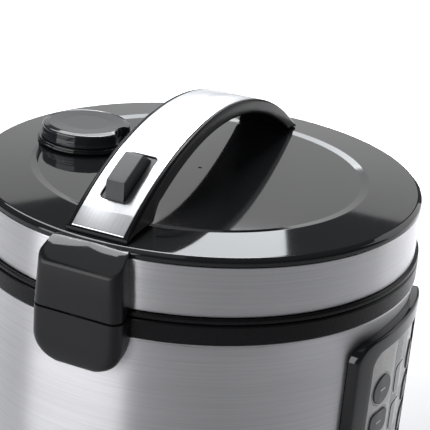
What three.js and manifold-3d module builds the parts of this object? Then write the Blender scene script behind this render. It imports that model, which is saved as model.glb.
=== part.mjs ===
// Rice cooker with a hinged, latched lid, a bridge handle and a front control panel.
// Millimetres, +Z up, standing on Z = 0 with the body's axis on X = Y = 0.
// The control panel faces -Y, the latch -X, the hinge +X, the steam vent and mains inlet +Y.
import * as THREE from "three";
import { mergeVertices } from "three/addons/utils/BufferGeometryUtils.js";
import Module from "manifold-3d";

const wasm = await Module();
wasm.setup();

// ---------------------------------------------------------------- driving dimensions
const gap = 0.3;               // clearance between pieces that touch
const wallSegments = 60;       // facets round the large rings
const smallSegments = 32;      // facets round the small ones

const shellRadius = 125.5;     // outside of the steel body
const steelWall = 1.2;
const seamHeight = 180;        // top of the body, where the lid closes
const baseHeight = 24;         // top of the plastic base
const footHeight = 4;
const footRadius = 11;
const footInset = 28;          // foot centre in from the base's edge
const plasticWall = 3;

const collarProud = 1.8;        // collar outside the shell
const collarRadius = shellRadius + collarProud;
const collarHeight = 10.4;
const collarLip = 3;           // skirt of the collar inside the shell
const wellInset = 9;            // recess for the pot's flange, in from the shell
const wellRadius = shellRadius - wellInset;
const ledgeDepth = 6.3;        // pot ledge below the seam
const ledgeWidth = 4.2;

const linerGap = 0.5;          // liner inside the collar's ledge
const linerWall = 1.2;
const linerFloor = 44;
const potClearance = 2.1;      // pot inside the liner
const potWall = 1.8;
const potFloor = 61.7;         // underside of the pot
const potCorner = 20;
const flangeClearance = 1;
const potFlangeRadius = wellRadius - flangeClearance;
const potFlangeThick = 2;

const heaterInset = 6;         // heater's edge in from the pot's flat
const heaterThick = 8.5;
const sensorRadius = 17;
const sensorStemRadius = 8;
const sensorClearance = 3;
const sensorHole = sensorRadius + sensorClearance;
const sensorTravel = 2.5;

const bandSetback = 0.5;        // steel band of the lid, in from the shell
const bandRadius = shellRadius - bandSetback;
const bandWall = 1;
const bandHeight = 26.5;
const ringProud = 1.6;          // plastic ring under the band, outside the shell
const ringRadius = shellRadius + ringProud;
const ringGap = 0.6;           // seam between lid and body
const ringThick = 2.7;
const chassisFloor = 4;        // chassis underside above the seam
const chassisThick = 2.5;
const crownInner = 5.2;        // lid top's middle above the band
const crownStep = 6;           // lid top just outside its step
const crownRim = 4.6;          // lid top at the rim
const stepInset = 29.5;         // step in the lid's top, in from the band
const stepWidth = 4.5;
const stepOuter = bandRadius - stepInset;
const stepInner = stepOuter - stepWidth;
const rimRound = 1.8;
const lidSkin = 2.4;

const gasketInset = 2.9;        // gasket inside the pot's well
const gasketWidth = 6.2;
const gasketOuter = wellRadius - gasketInset;
const gasketInner = gasketOuter - gasketWidth;
const plateInset = 0.4;
const plateRadius = gasketInner - plateInset;
const plateDrop = 1.8;         // inner plate's floor below the seam
const plateThick = 1.2;

const ventInset = 51;          // vent's axis in from the band
const ductRadius = 12;
const ductWall = 2;
const seatRadius = 28;
const seatThick = 2.4;
const capRimRadius = 25.3;
const capFlare = 0.7;
const capHeight = 8.4;
const capDome = 3;
const capPlugRadius = 9.6;
const capPlugWall = 1.6;
const capPlugDepth = 8;        // plug below the vent seat
const notchRadius = 12;
const notchDepth = 4.5;

const housingProud = 13.1;      // latch and hinge housings outside the shell
const housingReach = shellRadius + housingProud;
const housingHalf = 24.5;
const housingCorner = 5.5;
const housingDrop = 30.5;      // housings below the seam
const housingFoot = 16;        // radius of their lower corners
const housingBrow = 24.4;      // upper front edge above the seam
const housingCrest = 33.6;     // upper back edge above the seam
const housingWall = 2;

const hookThick = 2;
const hookHalf = 8;
const hookPivotHeight = 19;    // latch pivot above the seam
const hookSetback = 7.6;       // latch pivot behind the housing's front
const hookBarrel = 3.2;
const latchPinRadius = 1.5;
const noseReach = 5.4;
const noseThick = 2.8;
const noseDrop = 6.8;          // top of the hook's nose below the seam
const keeperThick = 4;
const keeperDepth = 3;
const latchBay = 11.5;         // half width of the latch's bay

const hingeBarrel = 4.6;
const hingePinRadius = 1.75;
const hingePinHalf = 23;
const hingeAxisRise = 1;       // hinge axis above the seam
const armHalf = 15;

const handleHalf = 17.5;
const handleOffset = 8;        // crown of the handle, toward the latch
const handleArc = 180;         // radius of its top
const handleNearInset = 5.5;   // ends of the handle in from the band
const handleFarInset = 22;
const handleEndRise = 1.9;     // handle above the lid at its near end
const handleThick = 8.6;
const handleNearSwell = 3.6;   // extra depth toward each foot
const handleFarSwell = 1.2;
const footBlend = 5;
const nearFootInset = 33;      // inner edge of each foot in from the band
const farFootInset = 34;
const inlayHalf = 14.5;
const inlayThick = 1;
const inlayNearMargin = 1.2;
const inlayFarMargin = 3;

const openingInset = 22;       // near edge of the button's opening in from the band
const openingLength = 31.2;
const openingHalf = 8.6;
const buttonSetback = 0.8;     // button's upright near face behind the opening's edge
const buttonHalf = 5.3;
const buttonTopLength = 19;
const buttonBackLength = 10;   // its back slopes down over this length
const buttonNearRise = 9.9;    // top of the button above the handle
const buttonFarRise = 8.9;
const buttonTravel = 4;
const skirtDepth = 0.8;
const skirtThick = 2;
const lipReach = 4;
const lipDrop = 1.4;           // lip on the skirt, below it
const legThick = 3;
const legHalf = 3.5;
const buttonLegInset = 27.5;   // middle of the button's leg in from the band

const screwRadius = 1.8;
const screwHead = 3.4;
const screwSpread = 8.5;       // screws each side of the handle's middle

const panelProud = 5.5;        // bezel's front outside the shell
const panelHalf = 51.6;
const panelDrop = 9.6;         // panel's top edge below the collar
const panelArch = 3.4;
const panelHeight = 110;
const panelCorner = 11;
const bezelSide = 13.2;
const bezelTop = 10;
const bezelFoot = 9;
const bezelInnerCorner = 9;
const faceSink = 1.6;          // faces behind the bezel's front
const centreHalf = 9;
const windowWidth = 12.4;
const windowHeight = 16.6;
const windowPitch = 23.4;
const windowFirst = 28.8;      // first window's middle below the bezel's inner top
const keyOffset = 23.9;        // keys' distance from the panel's middle
const keyDiameter = 17;
const keyHeight = 13.5;
const keyFirst = 26.4;
const keyPitch = 20.4;
const keyRise = 0.9;
const keyTravel = 0.8;

const inletHalf = 17;
const inletHeight = 30;
const inletFoot = 31;
const inletDepth = 15;
const inletWindowHalf = 12.4;
const inletWindowHeight = 17;
const inletPin = 1.1;

// ---------------------------------------------------------------- levels and places
const baseRadius = shellRadius;
const collarBottom = seamHeight - collarHeight;
const shellTop = collarBottom - gap;
const shellInner = shellRadius - steelWall;
const ledge = seamHeight - ledgeDepth;
const ledgeRadius = wellRadius - ledgeWidth;
const linerRadius = ledgeRadius - linerGap;
const potRadius = linerRadius - linerWall - potClearance;
const potFlange = ledge + gap;
const potTop = potFlange + potFlangeThick;
const potFlat = potRadius - potCorner;
const ringBottom = seamHeight + ringGap;
const ringTop = ringBottom + ringThick;
const bandBottom = ringTop + gap;
const bandTop = bandBottom + bandHeight;
const bandInner = bandRadius - bandWall;
const chassisBottom = seamHeight + chassisFloor;
const chassisTop = chassisBottom + chassisThick;
const lidMiddle = bandTop + crownInner;
const lidUnder = lidMiddle - lidSkin;
const ventY = bandRadius - ventInset;
const seatBottom = bandTop + crownStep + gap;
const seatTop = seatBottom + seatThick;
const capBottom = seatTop + gap;
const capShoulder = capBottom + capHeight - capDome;
const capTop = capBottom + capHeight;
const hingeX = housingReach - hingeBarrel;
const hingeZ = seamHeight + hingeAxisRise;
const hookX = -(housingReach - hookSetback);
const hookZ = seamHeight + hookPivotHeight;
const noseTop = seamHeight - noseDrop;
const panelRadius = shellRadius + panelProud;
const panelTop = collarBottom - panelDrop;
const panelBottom = panelTop - panelHeight;
const faceRadius = panelRadius - faceSink;

// ---------------------------------------------------------------- solids
/** A closed manifold solid from a three.js geometry, turned right side out. */
function solid(geometry) {
  const flat = geometry.clone();
  flat.deleteAttribute("normal");
  flat.deleteAttribute("uv");
  const merged = mergeVertices(flat, 1e-4);
  const vertices = merged.attributes.position.array;
  const triangles = Array.from(merged.index.array);
  const kept = [];
  let volume = 0;
  const at = (i) => new THREE.Vector3(vertices[3 * i], vertices[3 * i + 1], vertices[3 * i + 2]);
  for (let t = 0; t < triangles.length; t += 3) {
    const [a, b, c] = [triangles[t], triangles[t + 1], triangles[t + 2]];
    if (a === b || b === c || a === c) continue;
    volume += at(a).dot(at(b).cross(at(c)));
    kept.push(a, b, c);
  }
  if (volume < 0) {
    for (let t = 0; t < kept.length; t += 3) [kept[t], kept[t + 1]] = [kept[t + 1], kept[t]];
  }
  return new wasm.Manifold(new wasm.Mesh({
    numProp: 3,
    vertProperties: new Float32Array(vertices),
    triVerts: new Uint32Array(kept),
  }));
}

/** The three.js geometry of a manifold solid. */
function shape(manifold) {
  const mesh = manifold.getMesh();
  const geometry = new THREE.BufferGeometry();
  const points = new Float32Array(mesh.numVert * 3);
  for (let i = 0; i < mesh.numVert; i += 1) {
    for (let k = 0; k < 3; k += 1) points[3 * i + k] = mesh.vertProperties[i * mesh.numProp + k];
  }
  geometry.setAttribute("position", new THREE.BufferAttribute(points, 3));
  geometry.setIndex(Array.from(mesh.triVerts));
  geometry.computeVertexNormals();
  return geometry;
}

/** A ring or disc turned round the Z axis; a profile off the axis closes on itself. */
function turned(profile, segments = wallSegments) {
  const points = profile.map(([r, z]) => new THREE.Vector2(r, z));
  const [first, last] = [profile[0], profile[profile.length - 1]];
  if (first[0] !== 0 || last[0] !== 0) points.push(points[0].clone());
  const lathe = new THREE.LatheGeometry(points, segments);
  lathe.rotateX(Math.PI / 2);
  return solid(lathe);
}

/** A ring between two radii. */
function ring(inner, outer, low, high, segments = wallSegments) {
  return turned([[inner, low], [outer, low], [outer, high], [inner, high]], segments);
}

/** A round bar along Z. */
function bar(radius, low, high, segments = smallSegments) {
  const geometry = new THREE.CylinderGeometry(radius, radius, high - low, segments);
  geometry.rotateX(Math.PI / 2);
  geometry.translate(0, 0, (low + high) / 2);
  return solid(geometry);
}

/** A round bar along Y, centred on y = 0. */
function crossBar(radius, half, x, z, segments = 24) {
  const geometry = new THREE.CylinderGeometry(radius, radius, 2 * half, segments);
  geometry.translate(x, 0, z);
  return solid(geometry);
}

/** A box between two corners. */
function block([x0, y0, z0], [x1, y1, z1]) {
  const geometry = new THREE.BoxGeometry(x1 - x0, y1 - y0, z1 - z0);
  geometry.translate((x0 + x1) / 2, (y0 + y1) / 2, (z0 + z1) / 2);
  return solid(geometry);
}

/** A rectangle with rounded corners, centred on (cx, cy). */
function roundedOutline(cx, cy, width, height, radius) {
  const [w, h] = [width / 2, height / 2];
  const outline = new THREE.Shape();
  outline.moveTo(cx - w + radius, cy - h);
  outline.lineTo(cx + w - radius, cy - h);
  outline.absarc(cx + w - radius, cy - h + radius, radius, -Math.PI / 2, 0, false);
  outline.lineTo(cx + w, cy + h - radius);
  outline.absarc(cx + w - radius, cy + h - radius, radius, 0, Math.PI / 2, false);
  outline.lineTo(cx - w + radius, cy + h);
  outline.absarc(cx - w + radius, cy + h - radius, radius, Math.PI / 2, Math.PI, false);
  outline.lineTo(cx - w, cy - h + radius);
  outline.absarc(cx - w + radius, cy - h + radius, radius, Math.PI, 1.5 * Math.PI, false);
  return outline;
}

/** An XZ outline pushed along Y from y0 to y1. */
function alongY(outline, y0, y1, curveSegments = 4) {
  const geometry = new THREE.ExtrudeGeometry(outline, {
    depth: y1 - y0, bevelEnabled: false, curveSegments,
  });
  geometry.rotateX(Math.PI / 2);
  geometry.translate(0, y1, 0);
  return solid(geometry);
}

/** An XY outline pushed along Z from z0 to z1. */
function alongZ(outline, z0, z1, curveSegments = 4) {
  const geometry = new THREE.ExtrudeGeometry(outline, {
    depth: z1 - z0, bevelEnabled: false, curveSegments,
  });
  geometry.translate(0, 0, z0);
  return solid(geometry);
}

/** A YZ outline pushed along X from x0 to x1. */
function alongX(outline, x0, x1, curveSegments = 4) {
  const geometry = new THREE.ExtrudeGeometry(outline, {
    depth: x1 - x0, bevelEnabled: false, curveSegments,
  });
  geometry.applyMatrix4(new THREE.Matrix4().set(0, 0, 1, x0, 1, 0, 0, 0, 0, 1, 0, 0, 0, 0, 0, 1));
  return solid(geometry);
}

/** An outline through a list of points. */
function polygon(points) {
  return new THREE.Shape(points.map(([x, y]) => new THREE.Vector2(x, y)));
}

/** A straight compression spring round Z. */
function spring(radius, wire, low, high, turns) {
  const helix = new THREE.Curve();
  helix.getPoint = (t, target = new THREE.Vector3()) => {
    const angle = 2 * Math.PI * turns * t;
    const rise = low + wire + t * (high - low - 2 * wire);
    return target.set(radius * Math.cos(angle), radius * Math.sin(angle), rise);
  };
  const section = polygon(Array.from({ length: 5 }, (_, i) => [
    wire * Math.cos(i * 2 * Math.PI / 5), wire * Math.sin(i * 2 * Math.PI / 5)]));
  const geometry = new THREE.ExtrudeGeometry(section, {
    steps: Math.round(turns * 10), extrudePath: helix,
  });
  return solid(geometry);
}

// ---------------------------------------------------------------- finishes
const finish = (color, roughness, metalness) =>
  new THREE.MeshStandardMaterial({ color, roughness, metalness });
const brushedSteel = finish(0xb9b9b7, 0.32, 1);
const glossBlack = finish(0x17181a, 0.08, 0);
const satinBlack = finish(0x232425, 0.4, 0);
const mattGrey = finish(0x6a6c6e, 0.55, 0);
const faceCream = finish(0xdad8d3, 0.35, 0);
const faceGrey = finish(0x8f9294, 0.35, 0);
const keyGrey = finish(0x696b6c, 0.4, 0);
const windowBlack = finish(0x2b3034, 0.1, 0);
const bareAluminium = finish(0xc4c6c8, 0.35, 1);
const potCoating = finish(0x34363a, 0.45, 0.2);
const springSteel = finish(0xa6a7a9, 0.3, 1);
const footRubber = finish(0x1b1b1c, 0.85, 0);
const siliconeGrey = finish(0xbcbdbb, 0.6, 0);
const boardGreen = finish(0x1e5a3c, 0.5, 0);
const brassPin = finish(0xc2a866, 0.3, 1);

const cooker = new THREE.Group();
const lid = new THREE.Group();
cooker.add(lid);

/** Adds one named piece to a group. */
function piece(group, name, manifold, material) {
  const mesh = new THREE.Mesh(shape(manifold), material);
  mesh.name = name;
  group.add(mesh);
}

// ---------------------------------------------------------------- base and shell
const trayInner = shellInner - gap - plasticWall;
piece(cooker, "base_tray", turned([
  [0, footHeight], [baseRadius - 8, footHeight], [baseRadius - 3, footHeight + 3],
  [baseRadius, footHeight + 11], [baseRadius, baseHeight - gap],
  [shellInner - gap, baseHeight - gap], [shellInner - gap, baseHeight + 8],
  [trayInner, baseHeight + 8], [trayInner, footHeight + 11],
  [trayInner - 5, footHeight + plasticWall], [0, footHeight + plasticWall],
]), satinBlack);

for (let i = 0; i < 4; i += 1) {
  const angle = (i + 0.5) * Math.PI / 2;
  const reach = baseRadius - footInset;
  const foot = turned([
    [0, 0], [footRadius - 1, 0], [footRadius, 1], [footRadius, footHeight - gap],
    [0, footHeight - gap],
  ], smallSegments);
  piece(cooker, `foot_${i + 1}`,
    foot.translate([reach * Math.cos(angle), reach * Math.sin(angle), 0]), footRubber);
}

const windowMargin = 6;
const panelWindow = block(
  [-(panelHalf - bezelSide) + windowMargin, -shellRadius - 5, panelBottom + bezelFoot + windowMargin],
  [panelHalf - bezelSide - windowMargin, -shellRadius / 2, panelTop - bezelTop - windowMargin]);
const inletWindow = block(
  [-inletHalf + 2 - gap, shellRadius / 2, inletFoot + 2 - gap],
  [inletHalf - 2 + gap, shellRadius + 5, inletFoot + inletHeight - 2 + gap]);
piece(cooker, "outer_shell",
  ring(shellInner, shellRadius, baseHeight, shellTop).subtract(panelWindow).subtract(inletWindow),
  brushedSteel);

// ---------------------------------------------------------------- collar, liner, heater
const latchNotch = block(
  [-collarRadius - 5, -latchBay, noseTop - noseThick - 0.5],
  [-(collarRadius - 5), latchBay, seamHeight + 5]);
const collarInside = shellInner - gap;
piece(cooker, "body_collar", turned([
  [collarRadius, collarBottom], [collarRadius, seamHeight - 0.6],
  [collarRadius - 0.6, seamHeight], [wellRadius, seamHeight], [wellRadius, ledge],
  [ledgeRadius, ledge], [ledgeRadius, ledge - 13.7], [ledgeRadius + 2.2, ledge - 13.7],
  [ledgeRadius + 2.2, collarBottom - collarLip], [collarInside, collarBottom - collarLip],
  [collarInside, collarBottom],
]).subtract(latchNotch), satinBlack);

piece(cooker, "latch_keeper", block(
  [-(collarRadius - 5) - gap - keeperDepth, -hookHalf - 1, noseTop + gap],
  [-(collarRadius - 5) - gap, hookHalf + 1, noseTop + gap + keeperThick]), springSteel);

piece(cooker, "inner_liner", turned([
  [sensorHole, linerFloor], [linerRadius - 3, linerFloor], [linerRadius, linerFloor + 3],
  [linerRadius, ledge - 2], [linerRadius - linerWall, ledge - 2],
  [linerRadius - linerWall, linerFloor + 3.4], [linerRadius - 3.4, linerFloor + linerWall],
  [sensorHole, linerFloor + linerWall],
]), bareAluminium);

const heaterTop = potFloor - gap;
const heaterRadius = potFlat - heaterInset;
piece(cooker, "heating_plate", turned([
  [sensorHole + 1, heaterTop - heaterThick], [heaterRadius * 0.62, heaterTop - heaterThick],
  [heaterRadius * 0.62, linerFloor + linerWall + gap],
  [heaterRadius * 0.62 + 4, linerFloor + linerWall + gap],
  [heaterRadius * 0.62 + 4, heaterTop - heaterThick], [heaterRadius, heaterTop - heaterThick],
  [heaterRadius, heaterTop - 2], [heaterRadius - 2, heaterTop], [sensorHole + 1, heaterTop],
]), bareAluminium);

const bracketTop = linerFloor - gap;
piece(cooker, "sensor_bracket",
  ring(sensorStemRadius + 0.8, sensorHole + 6, bracketTop - 1.6, bracketTop, smallSegments), springSteel);
piece(cooker, "pot_sensor", turned([
  [0, bracketTop - 10], [sensorStemRadius, bracketTop - 10], [sensorStemRadius, heaterTop - 4],
  [sensorRadius - 1, heaterTop - 4], [sensorRadius, heaterTop - 3], [sensorRadius, heaterTop - 1],
  [sensorRadius - 1, heaterTop], [0, heaterTop],
], smallSegments), bareAluminium);
piece(cooker, "sensor_spring",
  spring(sensorStemRadius + 3, 0.7, bracketTop + gap, heaterTop - 4 - gap, 4), springSteel);

/** Points round a quarter circle. */
function quarter(cx, cz, radius, from, steps = 5) {
  return Array.from({ length: steps + 1 }, (_, i) => {
    const a = from + (i / steps) * Math.PI / 2;
    return [cx + radius * Math.cos(a), cz + radius * Math.sin(a)];
  });
}
const innerCorner = quarter(potFlat, potFloor + potCorner, potCorner - potWall, -Math.PI / 2).reverse();
piece(cooker, "inner_pot", turned([
  [0, potFloor], ...quarter(potFlat, potFloor + potCorner, potCorner, -Math.PI / 2),
  [potRadius, potFlange - 2], [potRadius + 2, potFlange], [potFlangeRadius, potFlange],
  [potFlangeRadius, potTop], [potRadius, potTop], [potRadius - potWall, potTop - 2],
  ...innerCorner, [0, potFloor + potWall],
]), potCoating);

// ---------------------------------------------------------------- latch and hinge housings
/** Top view of a housing on the +X side, with rounded outer corners. */
function housingPlan(half) {
  const outline = new THREE.Shape();
  outline.moveTo(100, -half);
  outline.lineTo(housingReach - housingCorner, -half);
  outline.absarc(housingReach - housingCorner, -half + housingCorner, housingCorner,
    -Math.PI / 2, 0, false);
  outline.absarc(housingReach - housingCorner, half - housingCorner, housingCorner,
    0, Math.PI / 2, false);
  outline.lineTo(100, half);
  return outline;
}

/** Front view of a lower housing, with its two lower corners rounded. */
function housingFront(top) {
  const low = seamHeight - housingDrop;
  const outline = new THREE.Shape();
  outline.moveTo(housingHalf, top);
  outline.lineTo(-housingHalf, top);
  outline.lineTo(-housingHalf, low + housingFoot);
  outline.absarc(-housingHalf + housingFoot, low + housingFoot, housingFoot,
    Math.PI, 1.5 * Math.PI, false);
  outline.absarc(housingHalf - housingFoot, low + housingFoot, housingFoot,
    1.5 * Math.PI, 2 * Math.PI, false);
  return outline;
}

/** A lower housing on the +X side, hollowed to sit round the shell and the collar. */
function lowerHousing(top) {
  return alongZ(housingPlan(housingHalf), seamHeight - housingDrop - 5, top)
    .intersect(alongX(housingFront(top), 100, housingReach + 1))
    .subtract(bar(shellRadius + gap, 0, collarBottom - gap, wallSegments))
    .subtract(bar(collarRadius + gap, collarBottom - gap - 0.01, seamHeight + 40, wallSegments));
}

/** An upper housing on the +X side with its slanting brow. */
function upperHousing(half) {
  const side = polygon([
    [100, ringBottom], [housingReach, ringBottom], [housingReach, seamHeight + housingBrow - 1.5],
    [housingReach - 1.2, seamHeight + housingBrow], [bandRadius, seamHeight + housingCrest],
    [100, seamHeight + housingCrest],
  ]);
  return alongZ(housingPlan(half), ringBottom, seamHeight + housingCrest + 5)
    .intersect(alongY(side, -half - 1, half + 1))
    .subtract(bar(ringRadius + gap, 0, ringTop + gap, wallSegments))
    .subtract(bar(bandRadius + gap, ringTop, seamHeight + 80, wallSegments));
}

/** Turns a piece built on the +X side to the -X side. */
const toLatchSide = (manifold) => manifold.rotate([0, 0, 180]);

const latchPinHalf = latchBay + 2;
const latchBayLow = block(
  [-housingReach + housingWall, -latchBay, noseTop - noseThick - 2],
  [-100, latchBay, seamHeight + 5]);
piece(cooker, "latch_housing_lower",
  toLatchSide(lowerHousing(seamHeight - gap)).subtract(latchBayLow), satinBlack);

const armFloor = hingeZ - hingeBarrel - 1.2;
const earTop = hingeZ + hingeBarrel;
const earProfile = polygon([
  [hingeX - hingeBarrel, seamHeight - 8], [hingeX + hingeBarrel, seamHeight - 8],
  ...Array.from({ length: 9 }, (_, i) => [
    hingeX + hingeBarrel * Math.cos(i * Math.PI / 8), hingeZ + hingeBarrel * Math.sin(i * Math.PI / 8)]),
]);
const ears = alongY(earProfile, -housingHalf + 1, housingHalf - 1);
const armSlot = block(
  [100, -armHalf - 0.5, armFloor], [housingReach + 5, armHalf + 0.5, earTop + 5]);
const earBore = crossBar(hingePinRadius + gap, hingePinHalf + gap, hingeX, hingeZ);
piece(cooker, "hinge_housing_lower",
  lowerHousing(seamHeight - gap)
    .subtract(block([100, -60, armFloor], [housingReach + 5, 60, seamHeight + 5]))
    .add(ears.intersect(lowerHousing(earTop + 1).add(
      block([hingeX - hingeBarrel, -housingHalf, armFloor - 1], [housingReach, housingHalf, earTop]))))
    .subtract(armSlot).subtract(earBore), satinBlack);
piece(cooker, "hinge_pin", crossBar(hingePinRadius, hingePinHalf, hingeX, hingeZ), springSteel);

// ---------------------------------------------------------------- control panel
/** Outline of the bezel: straight sides, rounded corners and a gently arched top. */
function bezelOutline(half, low, high, corner, arch) {
  const outline = new THREE.Shape();
  const square = Math.min(corner, 6);
  outline.moveTo(-half + square, low);
  outline.lineTo(half - square, low);
  outline.absarc(half - square, low + square, square, -Math.PI / 2, 0, false);
  outline.lineTo(half, high - arch - corner);
  outline.absarc(half - corner, high - arch - corner, corner, 0, Math.PI / 2, false);
  outline.quadraticCurveTo(0, high + arch, -half + corner, high - arch);
  outline.absarc(-half + corner, high - arch - corner, corner, Math.PI / 2, Math.PI, false);
  outline.lineTo(-half, low + square);
  outline.absarc(-half + square, low + square, square, Math.PI, 1.5 * Math.PI, false);
  return outline;
}

/** The part of a ring round the body that lies inside an XZ outline on the -Y side. */
function curvedPlate(outline, inner, outer) {
  const band = ring(inner, outer, panelBottom - 20, panelTop + 20);
  return band.intersect(alongY(outline, -panelRadius - 5, -shellRadius / 3));
}

const faceHalf = panelHalf - bezelSide;
const faceTop = panelTop - bezelTop;
const faceBottom = panelBottom + bezelFoot;
const bezelBack = shellRadius + gap;
const faceBack = bezelBack;
const openingCut = alongY(
  bezelOutline(faceHalf, faceBottom, faceTop, bezelInnerCorner, 1), -panelRadius - 5, 0);
piece(cooker, "panel_bezel",
  curvedPlate(bezelOutline(panelHalf, panelBottom, panelTop, panelCorner, panelArch),
    bezelBack, panelRadius).subtract(openingCut), glossBlack);

const facePlate = curvedPlate(
  bezelOutline(faceHalf - gap, faceBottom + gap, faceTop - gap, bezelInnerCorner, 1),
  faceBack, faceRadius);
const tall = [faceBottom - 20, faceTop + 20];
const sideCut = (x0, x1) => block([x0, -panelRadius - 5, tall[0]], [x1, 0, tall[1]]);

/** Places of the keys on one side: a round key above two oblong ones. */
const keyRows = [0, 1, 2].map((row) => ({
  z: faceTop - keyFirst - row * keyPitch, height: row === 0 ? keyDiameter : keyHeight,
  corner: row === 0 ? keyDiameter / 2 - 0.01 : 4,
}));
/** Outline of a key grown by a margin. */
const keyOutline = (x, row, margin) => roundedOutline(
  x, row.z, keyDiameter + 2 * margin, row.height + 2 * margin, row.corner + margin);

const sides = [["left", -1], ["right", 1]];
for (const [side, sign] of sides) {
  let face = facePlate.intersect(sign < 0
    ? sideCut(-panelHalf, -centreHalf) : sideCut(centreHalf, panelHalf));
  keyRows.forEach((row, i) => {
    const x = sign * keyOffset;
    face = face.subtract(alongY(keyOutline(x, row, gap), -panelRadius - 5, 0));
    piece(cooker, `key_${side}_${i + 1}`,
      curvedPlate(keyOutline(x, row, 0), faceBack + keyTravel / 2, faceRadius + keyRise), keyGrey);
  });
  piece(cooker, `panel_face_${side}`, face, faceCream);
}

let centre = facePlate.intersect(sideCut(-centreHalf + gap, centreHalf - gap));
for (let i = 0; i < 3; i += 1) {
  const z = faceTop - windowFirst - i * windowPitch;
  const outline = (margin) => roundedOutline(
    0, z, windowWidth + 2 * margin, windowHeight + 2 * margin, 3 + margin);
  centre = centre.subtract(alongY(outline(gap), -panelRadius - 5, 0));
  piece(cooker, `display_window_${i + 1}`,
    curvedPlate(outline(0), faceBack + 1, faceRadius + 0.3), windowBlack);
}
piece(cooker, "panel_centre", centre, faceGrey);

const boardHalf = faceHalf - windowMargin - 2;
const boardY = -Math.sqrt(shellInner ** 2 - boardHalf ** 2) + 5;
piece(cooker, "control_board", block(
  [-boardHalf, boardY - 1.6, faceBottom + windowMargin],
  [boardHalf, boardY, faceTop - windowMargin]), boardGreen);

// ---------------------------------------------------------------- mains inlet
const inletMiddle = inletFoot + inletHeight / 2;
const inletBack = panelRadius - inletDepth - 3;
const inletFlange = alongY(roundedOutline(0, inletMiddle, 2 * inletHalf, inletHeight, 4),
  shellRadius + gap, panelRadius);
const inletBox = alongY(
  roundedOutline(0, inletMiddle, 2 * (inletHalf - 2), inletHeight - 4, 3), inletBack, panelRadius);
const inletSocket = alongY(roundedOutline(0, inletMiddle, 2 * inletWindowHalf, inletWindowHeight, 2.5),
  panelRadius - inletDepth, panelRadius + 5);
let inlet = inletFlange.add(inletBox).subtract(inletSocket);
const pinPlaces = [[-7, -1.5], [0, 3], [7, -1.5]];
pinPlaces.forEach(([x, rise], i) => {
  const z = inletMiddle + rise;
  const hole = block([x - inletPin - gap, inletBack - 5, z - 2 - gap],
    [x + inletPin + gap, panelRadius, z + 2 + gap]);
  inlet = inlet.subtract(hole);
  piece(cooker, `inlet_pin_${i + 1}`, block([x - inletPin, inletBack - 0.5, z - 2],
    [x + inletPin, panelRadius - 5.5, z + 2]), brassPin);
});
piece(cooker, "power_inlet", inlet, satinBlack);

// ---------------------------------------------------------------- lid
const ventAt = (manifold) => manifold.translate([0, ventY, 0]);
const ductHole = ventAt(bar(ductRadius + gap, seamHeight - 5, seamHeight + 80));
piece(lid, "lid_chassis", turned([
  [0, chassisBottom], [gasketOuter + gap, chassisBottom], [gasketOuter + gap, ringBottom],
  [ringRadius, ringBottom], [ringRadius, ringTop - 0.4], [ringRadius - 0.4, ringTop],
  [bandInner - gap, ringTop], [bandInner - gap, chassisTop + 3.5],
  [bandInner - gap - 4, chassisTop + 3.5], [bandInner - gap - 4, chassisTop], [0, chassisTop],
]).subtract(ductHole), satinBlack);

const bandWindow = block([-bandRadius - 5, -hookHalf - 1.5, chassisTop + 4.5],
  [-100, hookHalf + 1.5, bandTop - 2.5]);
piece(lid, "lid_band", ring(bandInner, bandRadius, bandBottom, bandTop).subtract(bandWindow),
  brushedSteel);

const handleNear = bandRadius - handleNearInset;
const handleFar = bandRadius - handleFarInset;
const legX = -(bandRadius - buttonLegInset);
const rimTop = bandTop + crownRim;
const lidOuter = (r) => bandTop + crownStep
  + (r - stepOuter) / (bandRadius - 2 - stepOuter) * (crownRim - crownStep);
const legSlot = block([legX - legThick / 2 - 1, -legHalf - 0.6, lidUnder - 10],
  [legX + legThick / 2 + 1, legHalf + 0.6, lidMiddle + 10]);
const nearScrewX = -(handleNear - 12);
const farScrewX = handleFar - 5;
const screwPlaces = [
  [nearScrewX, screwSpread], [nearScrewX, -screwSpread],
  [farScrewX, screwSpread], [farScrewX, -screwSpread]];
let crown = turned([
  [0, lidUnder], [0, lidMiddle], [stepInner, lidMiddle], [stepOuter, bandTop + crownStep],
  [bandRadius - 2, rimTop], [bandRadius - 0.6, rimTop - 0.6], [bandRadius, rimTop - rimRound],
  [bandRadius, bandTop + gap], [bandRadius - 3, bandTop + gap], [bandRadius - 4, lidUnder],
]).subtract(ductHole).subtract(legSlot);
for (const [x, y] of screwPlaces) {
  crown = crown.subtract(bar(screwRadius + gap, lidUnder - 5, lidMiddle + 5, 16).translate([x, y, 0]));
}
const dimple = turned([[0, lidMiddle - 1], [1.1, lidMiddle + 0.1], [1.1, lidMiddle + 1], [0, lidMiddle + 1]],
  12);
piece(lid, "lid_top", crown.subtract(dimple), glossBlack);

const plateFloor = seamHeight - plateDrop;
let innerPlate = turned([
  [0, plateFloor], [plateRadius - 6, plateFloor], [plateRadius - 4, chassisBottom - gap - plateThick],
  [plateRadius, chassisBottom - gap - plateThick], [plateRadius, chassisBottom - gap],
  [plateRadius - 5, chassisBottom - gap], [plateRadius - 7, plateFloor + plateThick],
  [0, plateFloor + plateThick],
]);
for (let i = 0; i < 6; i += 1) {
  const angle = i * Math.PI / 3;
  innerPlate = innerPlate.subtract(bar(2.3, plateFloor - 2, plateFloor + 4, 12)
    .translate([6 * Math.cos(angle), ventY + 6 * Math.sin(angle), 0]));
}
piece(lid, "inner_lid_plate", innerPlate, bareAluminium);

piece(lid, "lid_gasket", turned([
  [gasketInner, chassisBottom - gap], [gasketOuter, chassisBottom - gap],
  [gasketOuter, seamHeight], [gasketOuter - 1.6, potTop + gap], [gasketOuter - 3.1, potTop + gap],
  [gasketOuter - 3.1, seamHeight - 0.5], [gasketInner, seamHeight + 1],
]), siliconeGrey);

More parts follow.
